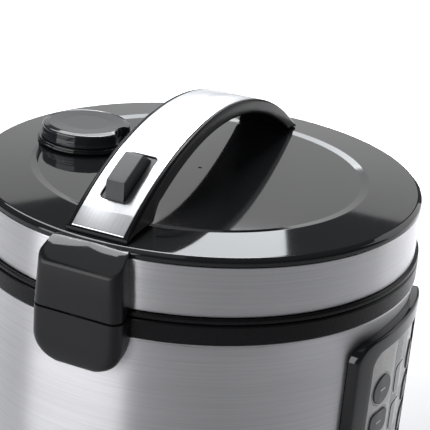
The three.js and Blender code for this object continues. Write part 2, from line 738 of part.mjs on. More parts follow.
// ---------------------------------------------------------------- steam vent
piece(lid, "steam_duct", ventAt(
  ring(ductRadius - ductWall, ductRadius, plateFloor + plateThick + gap, seatTop, smallSegments)),
satinBlack);
piece(lid, "vent_seat", ventAt(turned([
  [ductRadius + gap, seatBottom], [seatRadius, seatBottom], [seatRadius, seatTop - 0.8],
  [seatRadius - 0.8, seatTop], [ductRadius + gap, seatTop],
], 48)), glossBlack);

const capSkirt = capRimRadius + capFlare;
const notch = bar(notchRadius, capBottom + 1.6, capTop + 5, smallSegments)
  .translate([0, -(capRimRadius + notchRadius - notchDepth), 0]);
piece(lid, "steam_cap", ventAt(turned([
  [0, capShoulder], [0, capTop], [capRimRadius * 0.6, capTop - 0.3], [capRimRadius * 0.88, capTop - 1],
  [capRimRadius - 0.5, capTop - 2], [capRimRadius, capShoulder], [capSkirt, capBottom],
  [capPlugRadius, capBottom], [capPlugRadius, seatBottom - capPlugDepth],
  [capPlugRadius - capPlugWall, seatBottom - capPlugDepth],
  [capPlugRadius - capPlugWall, capShoulder],
], 48).subtract(notch)), glossBlack);

// ---------------------------------------------------------------- handle
// Places along the handle are measured toward the latch (s = -X).
/** How far the arc of the handle's top has fallen at s. */
const arcDrop = (s) => handleArc - Math.sqrt(handleArc ** 2 - (s - handleOffset) ** 2);
const handleCrown = lidOuter(handleNear) + handleEndRise + arcDrop(handleNear);
/** Height of the handle's top face at s. */
const handleTop = (s) => handleCrown - arcDrop(s);
/** Height of the handle's lower face at s, deeper toward the feet. */
function handleUnder(s) {
  const d = Math.abs(s - handleOffset);
  const swell = s > handleOffset ? handleNearSwell : handleFarSwell;
  return handleTop(s) - handleThick - swell * Math.min(1, (d / 75) ** 2);
}
const spread = (from, to, count) =>
  Array.from({ length: count + 1 }, (_, i) => from + (to - from) * i / count);

const nearFoot = bandRadius - nearFootInset;
const farFoot = bandRadius - farFootInset;
const footFloor = (s) => (s > stepOuter ? lidOuter(s) : bandTop + crownStep) + gap;
const handleSide = [
  ...spread(-handleFar, handleNear, 36).map((s) => [s, handleTop(s)]),
  [handleNear, footFloor(handleNear)], [nearFoot, footFloor(nearFoot)],
  [nearFoot - 1.5, footFloor(nearFoot) + 3],
  ...spread(nearFoot - footBlend, -farFoot + footBlend, 28).map((s) => [s, handleUnder(s)]),
  [-farFoot + 1.5, footFloor(farFoot) + 3], [-farFoot, footFloor(farFoot)],
  [-handleFar, footFloor(handleFar)],
];
const mirrored = (points) => polygon(points.map(([s, z]) => [-s, z]));
/** A strip that follows the handle's top, from one height to another over it. */
function topStrip(from, to, upper, lower, half, steps = 36) {
  const points = [
    ...spread(from, to, steps).map((s) => [s, handleTop(s) + upper]),
    ...spread(to, from, steps).map((s) => [s, handleTop(s) + lower]),
  ];
  return alongY(mirrored(points), -half, half);
}
const inlayFrom = -(handleFar - inlayFarMargin);
const inlayTo = handleNear - inlayNearMargin;

// The button works straight up and down in an opening near the handle's latch end.
const openingNear = bandRadius - openingInset;
const openingFar = openingNear - openingLength;
const buttonOpening = block([-openingNear, -openingHalf, 0], [-openingFar, openingHalf, 400]);
const wellDepth = skirtDepth + skirtThick + lipDrop + buttonTravel + 2 * gap;
const buttonWell = topStrip(openingFar, openingNear, 0.5, -wellDepth, openingHalf, 8)
  .add(topStrip(openingNear - 1, openingNear + lipReach, -inlayThick / 2, -wellDepth,
    legHalf + 2 * gap, 2));
const legTopZ = handleTop(-legX) - skirtDepth - skirtThick / 2;
let frame = alongY(mirrored(handleSide), -handleHalf, handleHalf)
  .subtract(topStrip(inlayFrom - gap, inlayTo + gap, 6, -inlayThick - gap, inlayHalf + gap))
  .subtract(buttonWell).subtract(legSlot.intersect(block(
    [-200, -50, lidMiddle - 5], [0, 50, legTopZ + 0.5])));
/** Top of the blind hole for a handle screw, kept below the inlay. */
const screwHoleTop = (x) =>
  handleTop(-x + Math.sign(-x) * (screwRadius + gap)) - inlayThick - 2;
for (const [x, y] of screwPlaces) {
  frame = frame.subtract(
    bar(screwRadius + gap, lidMiddle - 5, screwHoleTop(x), 16).translate([x, y, 0]));
}
piece(lid, "handle_frame", frame, satinBlack);
piece(lid, "handle_inlay",
  topStrip(inlayFrom, inlayTo, 0, -inlayThick, inlayHalf).subtract(buttonOpening), brushedSteel);

screwPlaces.forEach(([x, y], i) => {
  const head = bar(screwHead, lidUnder - gap - 2, lidUnder - gap, 16);
  const shank = bar(screwRadius, lidUnder - gap - 0.5, screwHoleTop(x) - gap, 16);
  piece(lid, `handle_screw_${i + 1}`, head.add(shank).translate([x, y, 0]), springSteel);
});

// ---------------------------------------------------------------- release button and latch
const buttonNear = openingNear - buttonSetback;
const buttonFar = buttonNear - buttonTopLength;
const buttonBack = buttonFar - buttonBackLength;
const wedge = alongY(mirrored([
  [buttonNear, handleTop(buttonNear) + buttonNearRise], [buttonFar, handleTop(buttonFar) + buttonFarRise],
  ...spread(buttonBack, buttonNear, 6).map((s) => [s, handleTop(s) - skirtDepth - 0.5]),
]), -buttonHalf, buttonHalf);
const skirtBottom = -skirtDepth - skirtThick;
const skirt = topStrip(openingFar + gap, openingNear - gap, -skirtDepth, skirtBottom,
  openingHalf - gap, 8);
const lip = topStrip(openingNear - 4, openingNear + lipReach - gap, -skirtDepth - 1.7,
  skirtBottom - lipDrop, legHalf, 2);
const hookPadTop = lidUnder - 4.6;
const leg = block([legX - legThick / 2, -legHalf, hookPadTop + 0.8],
  [legX + legThick / 2, legHalf, legTopZ]);
piece(lid, "release_button", wedge.add(skirt).add(lip).add(leg), mattGrey);

const padEnd = legX + legThick / 2 + 3;
const noseX = hookX + hookThick / 2 + noseReach;
const hookOutline = polygon([
  [hookX - hookThick / 2, noseTop - noseThick], [noseX, noseTop - noseThick],
  [noseX, noseTop], [hookX + hookThick / 2, noseTop],
  [hookX + hookThick / 2, hookZ - 2], [hookX + 14, hookZ - 2],
  [legX - 5, hookPadTop - hookThick], [padEnd, hookPadTop - hookThick], [padEnd, hookPadTop],
  [legX - 5.5, hookPadTop], [hookX + 13, hookZ + 0.6], [hookX - hookThick / 2, hookZ + 0.6],
]);
piece(lid, "latch_hook",
  alongY(hookOutline, -hookHalf, hookHalf)
    .subtract(block([-100, legHalf, 0], [padEnd + 5, 50, 400]))
    .subtract(block([-100, -50, 0], [padEnd + 5, -legHalf, 400]))
    .add(crossBar(hookBarrel, hookHalf, hookX, hookZ))
    .subtract(crossBar(latchPinRadius + gap, hookHalf + 1, hookX, hookZ)), springSteel);
piece(lid, "latch_pin", crossBar(latchPinRadius, latchPinHalf, hookX, hookZ), springSteel);

const latchBayHigh = block([-housingReach + housingWall, -latchBay, ringBottom - 5],
  [-100, latchBay, hookZ + hookBarrel + 1.2]);
piece(lid, "latch_housing_upper",
  toLatchSide(upperHousing(housingHalf)).subtract(latchBayHigh)
    .subtract(crossBar(latchPinRadius + gap, latchPinHalf + gap, hookX, hookZ)), satinBlack);

const springRadius = 2.6;
piece(lid, "latch_spring",
  spring(springRadius, 0.5, chassisTop + gap, hookPadTop - hookThick - gap, 6)
    .translate([legX, 0, 0]), springSteel);

const armProfile = polygon([
  [ringRadius + gap, hingeZ], ...Array.from({ length: 9 }, (_, i) => [
    hingeX - hingeBarrel * Math.cos(i * Math.PI / 8), hingeZ - hingeBarrel * Math.sin(i * Math.PI / 8)]),
  [housingReach, seamHeight + housingBrow], [100, seamHeight + housingBrow],
  [100, ringTop + gap], [ringRadius + gap, ringTop + gap],
]);
piece(lid, "hinge_housing_upper",
  upperHousing(armHalf).subtract(block([100, -60, 0], [160, 60, hingeZ + 0.01]))
    .add(alongY(armProfile, -armHalf, armHalf)
      .intersect(block([ringRadius + gap, -60, 0], [160, 60, hingeZ + 6])))
    .subtract(crossBar(hingePinRadius + gap, armHalf + 5, hingeX, hingeZ)), satinBlack);

export default cooker;
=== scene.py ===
"""Rice cooker: the finished surfaces that clothe the engineering model, its materials and its studio.

Lengths in the making of shapes are millimetres; a piece's mesh is stored in metres in the frame of the
engineering model: +Z up, panel toward -Y, latch toward -X, hinge toward +X, steam vent toward +Y.
"""
import math

import bpy
import numpy as np
from mathutils import Matrix, Vector


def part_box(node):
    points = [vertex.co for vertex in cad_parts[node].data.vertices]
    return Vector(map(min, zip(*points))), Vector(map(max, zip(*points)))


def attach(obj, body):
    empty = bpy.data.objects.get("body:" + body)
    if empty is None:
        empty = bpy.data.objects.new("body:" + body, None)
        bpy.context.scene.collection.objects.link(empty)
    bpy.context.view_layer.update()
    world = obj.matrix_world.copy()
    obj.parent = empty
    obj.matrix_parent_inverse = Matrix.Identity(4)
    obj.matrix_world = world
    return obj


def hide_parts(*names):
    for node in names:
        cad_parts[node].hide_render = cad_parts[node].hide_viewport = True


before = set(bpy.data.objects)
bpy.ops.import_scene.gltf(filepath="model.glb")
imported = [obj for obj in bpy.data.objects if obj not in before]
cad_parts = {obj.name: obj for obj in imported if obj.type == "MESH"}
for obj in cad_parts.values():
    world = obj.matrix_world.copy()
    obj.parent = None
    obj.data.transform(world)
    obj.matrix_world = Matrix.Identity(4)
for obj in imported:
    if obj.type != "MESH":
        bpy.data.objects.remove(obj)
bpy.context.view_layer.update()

MM = 0.001
AROUND = 192          # steps round a large turned piece
AROUND_SMALL = 96     # steps round a small one
CREASE = 32           # degrees; sharper edges than this stay crisp


# ------------------------------------------------------------------ sizes read from the model
def low(node, axis):
    """Lowest coordinate of a node along an axis (0, 1 or 2), in millimetres."""
    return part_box(node)[0][axis] / MM


def high(node, axis):
    """Highest coordinate of a node along an axis (0, 1 or 2), in millimetres."""
    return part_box(node)[1][axis] / MM


SHELL_R = high("outer_shell", 0)
BAND_R = high("lid_band", 0)
RING_R = high("lid_chassis", 0)
COLLAR_R = high("body_collar", 0)
SEAM = high("body_collar", 2)
COLLAR_LOW = high("outer_shell", 2) + 0.3
BAND_LOW, BAND_TOP = low("lid_band", 2), high("lid_band", 2)
RING_LOW = low("lid_chassis", 2)
LID_TOP = high("lid_top", 2)
HOUSING_X = high("hinge_housing_lower", 0)
BEZEL_SIDE, BEZEL_HEAD, BEZEL_FOOT = 13.2, 10.0, 9.0     # the bezel's width beside, over and under the faces


# ------------------------------------------------------------------ surfaces
def rounded(points, radii, steps=5, closed=False, lead=0.35):
    """A polyline whose corners become circular arcs.

    At each corner the arc touches both sides at radius * tan(half the turn) from the corner; a short
    lead point before and after it keeps the flat beside it shaded flat.
    """
    points = [np.array(p, float) for p in points]
    if np.isscalar(radii):
        radii = [radii] * len(points)
    out = []
    count = len(points)
    for i, (point, radius) in enumerate(zip(points, radii)):
        if not closed and i in (0, count - 1):
            out.append(point)
            continue
        before, after = points[i - 1] - point, points[(i + 1) % count] - point
        lb, la = np.linalg.norm(before), np.linalg.norm(after)
        before, after = before / lb, after / la
        turn = math.pi - math.acos(float(np.clip(before @ after, -1, 1)))
        if radius <= 0 or turn < 0.02:
            out.append(point)
            continue
        reach = min(radius * math.tan(turn / 2), 0.45 * lb, 0.45 * la)
        radius = reach / math.tan(turn / 2)
        centre = point + (before + after) / np.linalg.norm(before + after) * radius / math.cos(turn / 2)
        start, end = point + before * reach - centre, point + after * reach - centre
        if lb > reach * 1.2 + lead:
            out.append(point + before * (reach + lead))
        for k in range(steps + 1):
            t = k / steps
            mix = start * math.sin((1 - t) * turn) + end * math.sin(t * turn)
            out.append(centre + mix / math.sin(turn))
        if la > reach * 1.2 + lead:
            out.append(point + after * (reach + lead))
    return np.array(out)


def sheet_faces(rows, columns, wrap_rows=False, wrap_columns=False):
    """Quads of a grid of points numbered row by row, optionally joined end to end."""
    i = np.arange(rows if wrap_rows else rows - 1)
    j = np.arange(columns if wrap_columns else columns - 1)
    i, j = np.meshgrid(i, j, indexing="ij")
    i2, j2 = (i + 1) % rows, (j + 1) % columns
    quads = [i * columns + j, i2 * columns + j, i2 * columns + j2, i * columns + j2]
    return np.stack(quads, -1).reshape(-1, 4)


def sheet(points, wrap_rows=False, wrap_columns=False):
    """A grid of points (rows, columns, 3) as vertices and quads."""
    points = np.asarray(points, float)
    rows, columns = points.shape[:2]
    return points.reshape(-1, 3), sheet_faces(rows, columns, wrap_rows, wrap_columns)


def turned(profile, around=AROUND, centre=(0, 0)):
    """A profile of (radius, height) carried round a vertical axis.

    The point at angle a is (cx + r sin a, cy - r cos a, z).
    """
    angle = np.linspace(0, 2 * math.pi, around, endpoint=False)
    r, z = profile[:, 0][:, None], profile[:, 1][:, None]
    points = np.stack(np.broadcast_arrays(
        centre[0] + r * np.sin(angle), centre[1] - r * np.cos(angle), z), -1)
    return sheet(points, wrap_columns=True)


def ring_profile(points, radii, steps=5):
    """A closed profile with rounded corners that ends on its first point."""
    shape = rounded(points, radii, steps, closed=True)
    return np.vstack([shape, shape[:1]])


def joined(*parts):
    """Several vertex-and-quad pairs as one."""
    vertices, faces, offset = [], [], 0
    for v, f in parts:
        vertices.append(v)
        faces.append(f + offset)
        offset += len(v)
    return np.vstack(vertices), np.vstack(faces)


def outward(vertices, faces):
    """Turns the faces over if the volume they close is negative."""
    a, b, c, d = (vertices[faces[:, k]] for k in range(4))
    volume = np.einsum("ij,ij->i", a, np.cross(b, c)).sum() + np.einsum("ij,ij->i", a, np.cross(c, d)).sum()
    return faces[:, ::-1] if volume < 0 else faces


def piece(name, part, body, material, replaces=(), crease=CREASE, turn=True):
    """A finished piece from vertices and quads: merged, faced outward, shaded, clothed and riding."""
    vertices, faces = part
    if turn:
        faces = outward(vertices, faces)
    mesh = bpy.data.meshes.new(name)
    mesh.from_pydata((vertices * MM).tolist(), [], faces.tolist())
    import bmesh
    work = bmesh.new()
    work.from_mesh(mesh)
    bmesh.ops.remove_doubles(work, verts=work.verts, dist=2e-6)
    bmesh.ops.dissolve_degenerate(work, dist=1e-7, edges=work.edges)
    work.to_mesh(mesh)
    work.free()
    mesh.shade_smooth()
    mesh.set_sharp_from_angle(angle=math.radians(crease))
    obj = bpy.data.objects.new(name, mesh)
    bpy.context.scene.collection.objects.link(obj)
    obj.data.materials.append(material)
    if replaces:
        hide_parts(*replaces)
    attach(obj, body)
    return obj


# ------------------------------------------------------------------ shader arithmetic
class Wire:
    """A socket whose arithmetic adds Math nodes."""

    def __init__(self, finish, socket):
        """Keeps the finish that owns the socket."""
        self.finish, self.socket = finish, socket

    def _math(self, operation, *values):
        """One Math node."""
        return self.finish.node("ShaderNodeMath", {"operation": operation}, *values)

    def __add__(self, other):
        """self + other."""
        return self._math("ADD", self, other)

    __radd__ = __add__

    def __mul__(self, other):
        """self * other."""
        return self._math("MULTIPLY", self, other)

    __rmul__ = __mul__

    def __sub__(self, other):
        """self - other."""
        return self._math("SUBTRACT", self, other)

    def __rsub__(self, other):
        """other - self."""
        return self._math("SUBTRACT", other, self)

    def __pow__(self, other):
        """self to the power of other."""
        return self._math("POWER", self, other)

    def __abs__(self):
        """The size of self, without its sign."""
        return self._math("ABSOLUTE", self)

    def above(self, other):
        """1 where self is greater than other, 0 elsewhere."""
        return self._math("GREATER_THAN", self, other)

    def below(self, other):
        """1 where self is less than other, 0 elsewhere."""
        return self._math("LESS_THAN", self, other)

    def most(self, other):
        """The greater of self and other."""
        return self._math("MAXIMUM", self, other)

    def smooth(self, start, end):
        """0 at start and 1 at end, eased between."""
        return self.finish.node("ShaderNodeMapRange", {"interpolation_type": "SMOOTHSTEP"},
                                self, start, end, 0.0, 1.0)


class Finish:
    """A material being wired: one Principled surface and the nodes that feed it."""

    def __init__(self, name):
        """A new material with its Principled surface."""
        self.material = bpy.data.materials.new(name)
        self.material.use_nodes = True
        self.tree = self.material.node_tree
        self.surface = next(n for n in self.tree.nodes if n.type == "BSDF_PRINCIPLED")

    def node(self, kind, settings, *values, output=0, **named):
        """One node: its settings first, then its sockets in order or by name; returns an output."""
        node = self.tree.nodes.new(kind)
        for key, value in settings.items():
            if key == "stops":
                ramp = node.color_ramp
                while len(ramp.elements) < len(value):
                    ramp.elements.new(0.5)
                for element, (place, colour) in zip(ramp.elements, value):
                    element.position, element.color = place, (*colour, 1)
            else:
                setattr(node, key, value)
        for socket, value in [*zip(node.inputs, values), *((node.inputs[k], v) for k, v in named.items())]:
            self.feed(socket, value)
        return Wire(self, node.outputs[output])

    def feed(self, socket, value):
        """Links a wire to a socket, or sets the socket to a constant."""
        if value is None:
            return
        if isinstance(value, Wire):
            self.tree.links.new(value.socket, socket)
        elif socket.type == "RGBA" and len(value) == 3:
            socket.default_value = (*value, 1)
        else:
            socket.default_value = value

    def set(self, **sockets):
        """Sets or links the surface's sockets; an underscore stands for a space."""
        for key, value in sockets.items():
            self.feed(self.surface.inputs[key.replace("_", " ")], value)
        return self.material

    def place(self, scale=(1, 1, 1), turn=(0, 0, 0), shift=(0, 0, 0)):
        """The object's own coordinates in metres, turned, shifted and scaled."""
        where = self.node("ShaderNodeTexCoord", {}, output=3)
        return self.node("ShaderNodeMapping", {}, where, shift, turn, scale)

    def axes(self):
        """The three object coordinates in millimetres."""
        split = self.node("ShaderNodeSeparateXYZ", {}, self.place((1000, 1000, 1000)))
        return [Wire(self, split.socket.node.outputs[k]) for k in range(3)]

    def noise(self, where, scale, detail=2.0, rough=0.5):
        """Smooth noise between 0 and 1."""
        return self.node("ShaderNodeTexNoise", {"noise_dimensions": "3D"},
                         Vector=where, Scale=scale, Detail=detail, Roughness=rough)

    def blend(self, amount, first, second):
        """A colour between two others."""
        node = self.tree.nodes.new("ShaderNodeMix")
        node.data_type = "RGBA"
        for index, value in ((0, amount), (6, first), (7, second)):
            self.feed(node.inputs[index], value)
        return Wire(self, node.outputs[2])

    def bump(self, height, strength, distance=0.0002):
        """A normal roughened by a height."""
        return self.node("ShaderNodeBump", {}, Strength=strength, Distance=distance, Height=height)


def steel(name, tone, scale, rough=0.27, grain=0.09, anisotropy=0.8, turn=0.0):
    """Brushed stainless steel.

    scale is how fast the brushing varies along each axis: slow along the strokes, fast across them.
    Tone, roughness and a faint relief all follow the same strokes; a wide soft mottle lies over them.
    """
    finish = Finish(name)
    fine = finish.noise(finish.place(scale), 1.0, 3.0, 0.6)
    broad = finish.noise(finish.place(tuple(s * 0.22 for s in scale)), 1.0, 2.0, 0.5)
    cloud = finish.noise(finish.place((14, 14, 14)), 1.0, 2.0, 0.5)
    stroke = fine * 0.65 + broad * 0.35
    dark = tuple(c * (1 - grain) for c in tone)
    light = tuple(min(1, c * (1 + grain)) for c in tone)
    return finish.set(
        Base_Color=finish.blend(stroke.smooth(0.3, 0.7), dark, light),
        Metallic=1.0,
        Roughness=stroke * 0.12 + cloud * 0.05 + (rough - 0.085),
        Anisotropic=anisotropy,
        Anisotropic_Rotation=turn,
        Normal=finish.bump(stroke, 0.10, 0.00006),
    )


def polished_plastic(name, tone, rough=0.05, coat=0.0):
    """Polished moulded plastic: a slow flow in the gloss, a faint haze of fine wipe marks."""
    finish = Finish(name)
    flow = finish.noise(finish.place((18, 18, 18)), 1.0, 2.0, 0.5)
    wipe = finish.noise(finish.place((60, 240, 240)), 1.0, 4.0, 0.6)
    haze = flow * 0.5 + wipe * 0.5
    return finish.set(
        Base_Color=finish.blend(flow, tuple(c * 0.85 for c in tone), tuple(c * 1.15 for c in tone)),
        Roughness=haze * 0.045 + (rough - 0.0225),
        Coat_Weight=coat,
        Coat_Roughness=0.03,
        Normal=finish.bump(flow, 0.03, 0.0004),
    )


def satin_plastic(name, tone, rough=0.36, grain=1400, relief=0.10, sheen=0.5):
    """Satin moulded plastic with a fine even grain; sheen is the strength of its reflection."""
    finish = Finish(name)
    speck = finish.noise(finish.place((grain, grain, grain)), 1.0, 2.0, 0.6)
    drift = finish.noise(finish.place((30, 30, 30)), 1.0, 3.0, 0.55)
    return finish.set(
        Base_Color=finish.blend(drift, tuple(c * 0.85 for c in tone), tuple(c * 1.15 for c in tone)),
        Roughness=speck * 0.10 + drift * 0.06 + (rough - 0.08),
        Specular_IOR_Level=sheen,
        Normal=finish.bump(speck, relief, 0.00005),
    )


def plain_metal(name, tone, rough=0.3, metallic=1.0, grain=260):
    """Plain metal with faint handling marks."""
    finish = Finish(name)
    mark = finish.noise(finish.place((grain, grain, grain * 0.4)), 1.0, 3.0, 0.6)
    return finish.set(
        Base_Color=finish.blend(mark, tuple(c * 0.9 for c in tone), tuple(min(1, c * 1.06) for c in tone)),
        Metallic=metallic,
        Roughness=mark * 0.14 + (rough - 0.07),
        Normal=finish.bump(mark, 0.06, 0.00005),
    )


SHELL_STEEL = steel("shell_steel", (0.66, 0.658, 0.678), (26, 26, 5200), rough=0.31,
                    anisotropy=0.95, turn=0.25)
BAND_STEEL = steel("band_steel", (0.70, 0.698, 0.718), (26, 26, 5200), rough=0.31,
                   anisotropy=0.95, turn=0.25)
INLAY_STEEL = steel("inlay_steel", (0.62, 0.63, 0.65), (60, 5200, 60), rough=0.36, anisotropy=0.3)
GLOSS_BLACK = polished_plastic("gloss_black", (0.010, 0.0105, 0.0115))
CAP_BLACK = polished_plastic("cap_black", (0.014, 0.016, 0.019), rough=0.08)
HANDLE_BLACK = satin_plastic("handle_black", (0.006, 0.006, 0.007), rough=0.24, relief=0.05, sheen=0.12)
SATIN_BLACK = satin_plastic("satin_black", (0.013, 0.013, 0.0145), rough=0.36, sheen=0.3)
COLLAR_BLACK = satin_plastic("collar_black", (0.005, 0.005, 0.006), rough=0.28, sheen=0.2)
BUTTON_GREY = satin_plastic("button_grey", (0.055, 0.057, 0.060), rough=0.52, grain=2200, relief=0.25)
FOOT_RUBBER = satin_plastic("foot_rubber_black", (0.02, 0.02, 0.02), rough=0.8)
SILICONE = satin_plastic("gasket_grey", (0.55, 0.55, 0.54), rough=0.5)
BOARD = satin_plastic("board_lacquer", (0.02, 0.16, 0.07), rough=0.4)
ALUMINIUM = plain_metal("bare_aluminium", (0.78, 0.78, 0.79), rough=0.34)
PLAIN_STEEL = plain_metal("bright_steel", (0.62, 0.62, 0.63), rough=0.28)
BRASS = plain_metal("contact_brass", (0.75, 0.58, 0.30), rough=0.25)
POT_COAT = plain_metal("pot_coating", (0.045, 0.047, 0.052), rough=0.42, metallic=0.35, grain=900)

NODE_FINISH = {
    "latch_keeper": PLAIN_STEEL, "inner_liner": ALUMINIUM, "heating_plate": ALUMINIUM,
    "sensor_bracket": PLAIN_STEEL, "pot_sensor": ALUMINIUM, "sensor_spring": PLAIN_STEEL,
    "hinge_pin": PLAIN_STEEL, "hinge_housing_lower": SATIN_BLACK, "hinge_housing_upper": SATIN_BLACK,
    "control_board": BOARD, "inlet_pin_1": BRASS, "inlet_pin_2": BRASS, "inlet_pin_3": BRASS,
    "power_inlet": SATIN_BLACK, "steam_duct": SATIN_BLACK, "latch_hook": PLAIN_STEEL,
    "latch_pin": PLAIN_STEEL, "latch_spring": PLAIN_STEEL, "lid_chassis": SATIN_BLACK,
    "handle_screw_1": PLAIN_STEEL, "handle_screw_2": PLAIN_STEEL,
    "handle_screw_3": PLAIN_STEEL, "handle_screw_4": PLAIN_STEEL,
}


# ------------------------------------------------------------------ body
def make_base():
    """The plastic base tray: a turned pan with a soft lower edge, and its four feet."""
    r, top = SHELL_R, high("base_tray", 2)
    shoulder = low("outer_shell", 2) - 0.3
    floor = low("base_tray", 2)
    profile = rounded([
        (0, floor), (r - 8, floor), (r - 2.5, floor + 3), (r, floor + 11), (r, shoulder),
        (r - 1.5, shoulder), (r - 1.5, top), (r - 4.5, top), (r - 4.5, floor + 11),
        (r - 9.5, floor + 3), (0, floor + 3)],
        [0, 5, 6, 8, 0.6, 0, 0.3, 0.3, 4, 4, 0])
    piece("base_tray_skin", turned(profile), "body", SATIN_BLACK, ["base_tray"])
    for i in range(1, 5):
        node = f"foot_{i}"
        (x0, y0, z0), (x1, y1, z1) = (np.array(c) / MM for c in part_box(node))
        radius = (x1 - x0) / 2
        foot = rounded([(0, z0), (radius * 0.55, z0), (radius * 0.6, z0 + 0.6), (radius * 0.75, z0 + 0.6),
                        (radius * 0.8, z0), (radius, z0), (radius, z1), (0, z1)],
                       [0, 0.2, 0.2, 0.2, 0.2, 0.9, 0.3, 0])
        piece(f"{node}_pad", turned(foot, AROUND_SMALL, ((x0 + x1) / 2, (y0 + y1) / 2)),
              "body", FOOT_RUBBER, [node])


def make_shell():
    """The steel shell: a thin tube with a flared upper edge and windows behind the panel and the inlet.

    It is a grid of heights by angles, whose lines run along each window's edges; the cells inside a
    window are left out of both walls, and the window's rim joins the two walls.
    """
    z0, z1 = low("outer_shell", 2), high("outer_shell", 2)
    wall, flare = 1.2, 1.5
    margin, inlet_margin = 6.0, 1.7         # each window's edge inside what covers it
    reach = high("panel_bezel", 0) - BEZEL_SIDE - margin
    slot = high("power_inlet", 0) - inlet_margin
    windows = [
        (-math.pi / 2, math.asin(reach / SHELL_R),
         low("panel_bezel", 2) + BEZEL_FOOT + margin, high("panel_bezel", 2) - BEZEL_HEAD - margin),
        (math.pi / 2, math.asin(slot / SHELL_R),
         low("power_inlet", 2) + inlet_margin, high("power_inlet", 2) - inlet_margin)]
    steps = np.linspace(-math.pi, math.pi, AROUND, endpoint=False)
    for middle, spread, _, _ in windows:
        near = np.abs(np.abs(steps - middle) - spread) < 0.6 * 2 * math.pi / AROUND
        steps = np.concatenate([steps[~near], [middle - spread, middle + spread]])
    angles = np.sort(steps)
    heights = sorted({z for window in windows for z in window[2:]})
    outer = [(SHELL_R, z0 + 0.4), *((SHELL_R, z) for z in heights), (SHELL_R, z1 - 2.4),
             (SHELL_R + 0.5, z1 - 1.4), (SHELL_R + flare, z1 - 0.7), (SHELL_R + flare, z1 - 0.1),
             (SHELL_R + flare - 0.1, z1)]
    inner = [(SHELL_R - wall + 0.1, z1), (SHELL_R - wall, z1 - 0.1),
             *((SHELL_R - wall, z) for z in reversed(heights)), (SHELL_R - wall, z0 + 0.3),
             (SHELL_R - wall + 0.3, z0), (SHELL_R - 0.4, z0)]
    profile = np.array(outer + inner)
    rows, columns = len(profile), len(angles)
    vertices = np.stack([profile[:, None, 0] * np.cos(angles), profile[:, None, 0] * np.sin(angles),
                         np.broadcast_to(profile[:, None, 1], (rows, columns))], -1).reshape(-1, 3)

    def at(row, column):
        """Index of the vertex at a row of the profile and a step round the axis."""
        return (row % rows) * columns + column % columns

    def within(row, column):
        """Whether the cell above a row and after a column lies inside a window."""
        a = (angles[column] + (angles[(column + 1) % columns] if column + 1 < columns else math.pi)) / 2
        z = (profile[row % rows][1] + profile[(row + 1) % rows][1]) / 2
        straight = abs(profile[row % rows][0] - profile[(row + 1) % rows][0]) < 1e-6
        return straight and any(abs(a - m) < w and b < z < t for m, w, b, t in windows)

    across = {row: next(k for k in range(rows) if k != row and abs(profile[k][1] - profile[row][1]) < 1e-9)
              for row in range(rows) if any(abs(profile[row][1] - z) < 1e-9 for z in heights)}
    faces = []
    for row in range(rows):
        for column in range(columns):
            here, beside = at(row, column), at(row, column + 1)
            above, corner = at(row + 1, column), at(row + 1, column + 1)
            if not within(row, column):
                faces.append((here, beside, corner, above))
                continue
            if row >= len(outer):
                continue
            lower, upper = across[row], across[row + 1]
            if not within(row - 1, column):
                faces.append((here, beside, at(lower, column + 1), at(lower, column)))
            if not within(row + 1, column):
                faces.append((corner, above, at(upper, column), at(upper, column + 1)))
            if not within(row, column - 1):
                faces.append((above, here, at(lower, column), at(upper, column)))
            if not within(row, (column + 1) % columns):
                faces.append((beside, corner, at(upper, column + 1), at(lower, column + 1)))
    piece("outer_shell_skin", (vertices, np.array(faces)), "body", SHELL_STEEL,
          ["outer_shell"])


def make_collar():
    """The collar at the seam: outer wall, rounded lip, flat rim, pot ledge and inner skirt."""
    well, ledge = 116.5, SEAM - 6.3
    inner = 112.3
    profile = ring_profile([
        (COLLAR_R, COLLAR_LOW), (COLLAR_R, SEAM), (well, SEAM), (well, ledge), (inner, ledge),
        (inner, low("body_collar", 2)), (inner + 2.2, low("body_collar", 2)), (inner + 2.2, COLLAR_LOW - 3),
        (SHELL_R - 2, COLLAR_LOW - 3), (SHELL_R - 2, COLLAR_LOW)],
        [0.5, 1.1, 0.6, 0.8, 0.6, 0.4, 0.4, 0.4, 0.4, 0.2])
    piece("body_collar_skin", turned(profile), "body", COLLAR_BLACK, ["body_collar"])


def make_pot():
    """The inner pot: a turned bowl with a rolled flange and a coated wall."""
    r, floor = 108.5, low("inner_pot", 2)
    top, flange = high("inner_pot", 2), high("inner_pot", 0)
    wall = 1.8
    profile = rounded([
        (0, floor), (r, floor), (r, top - 4), (r + 2, top - 2), (flange, top - 2), (flange, top),
        (r, top), (r - wall, top - 2), (r - wall, floor + wall), (0, floor + wall)],
        [0, 20, 2, 1, 0.8, 0.8, 1.2, 1.2, 18, 0], steps=10)
    piece("inner_pot_skin", turned(profile), "body", POT_COAT, ["inner_pot"])


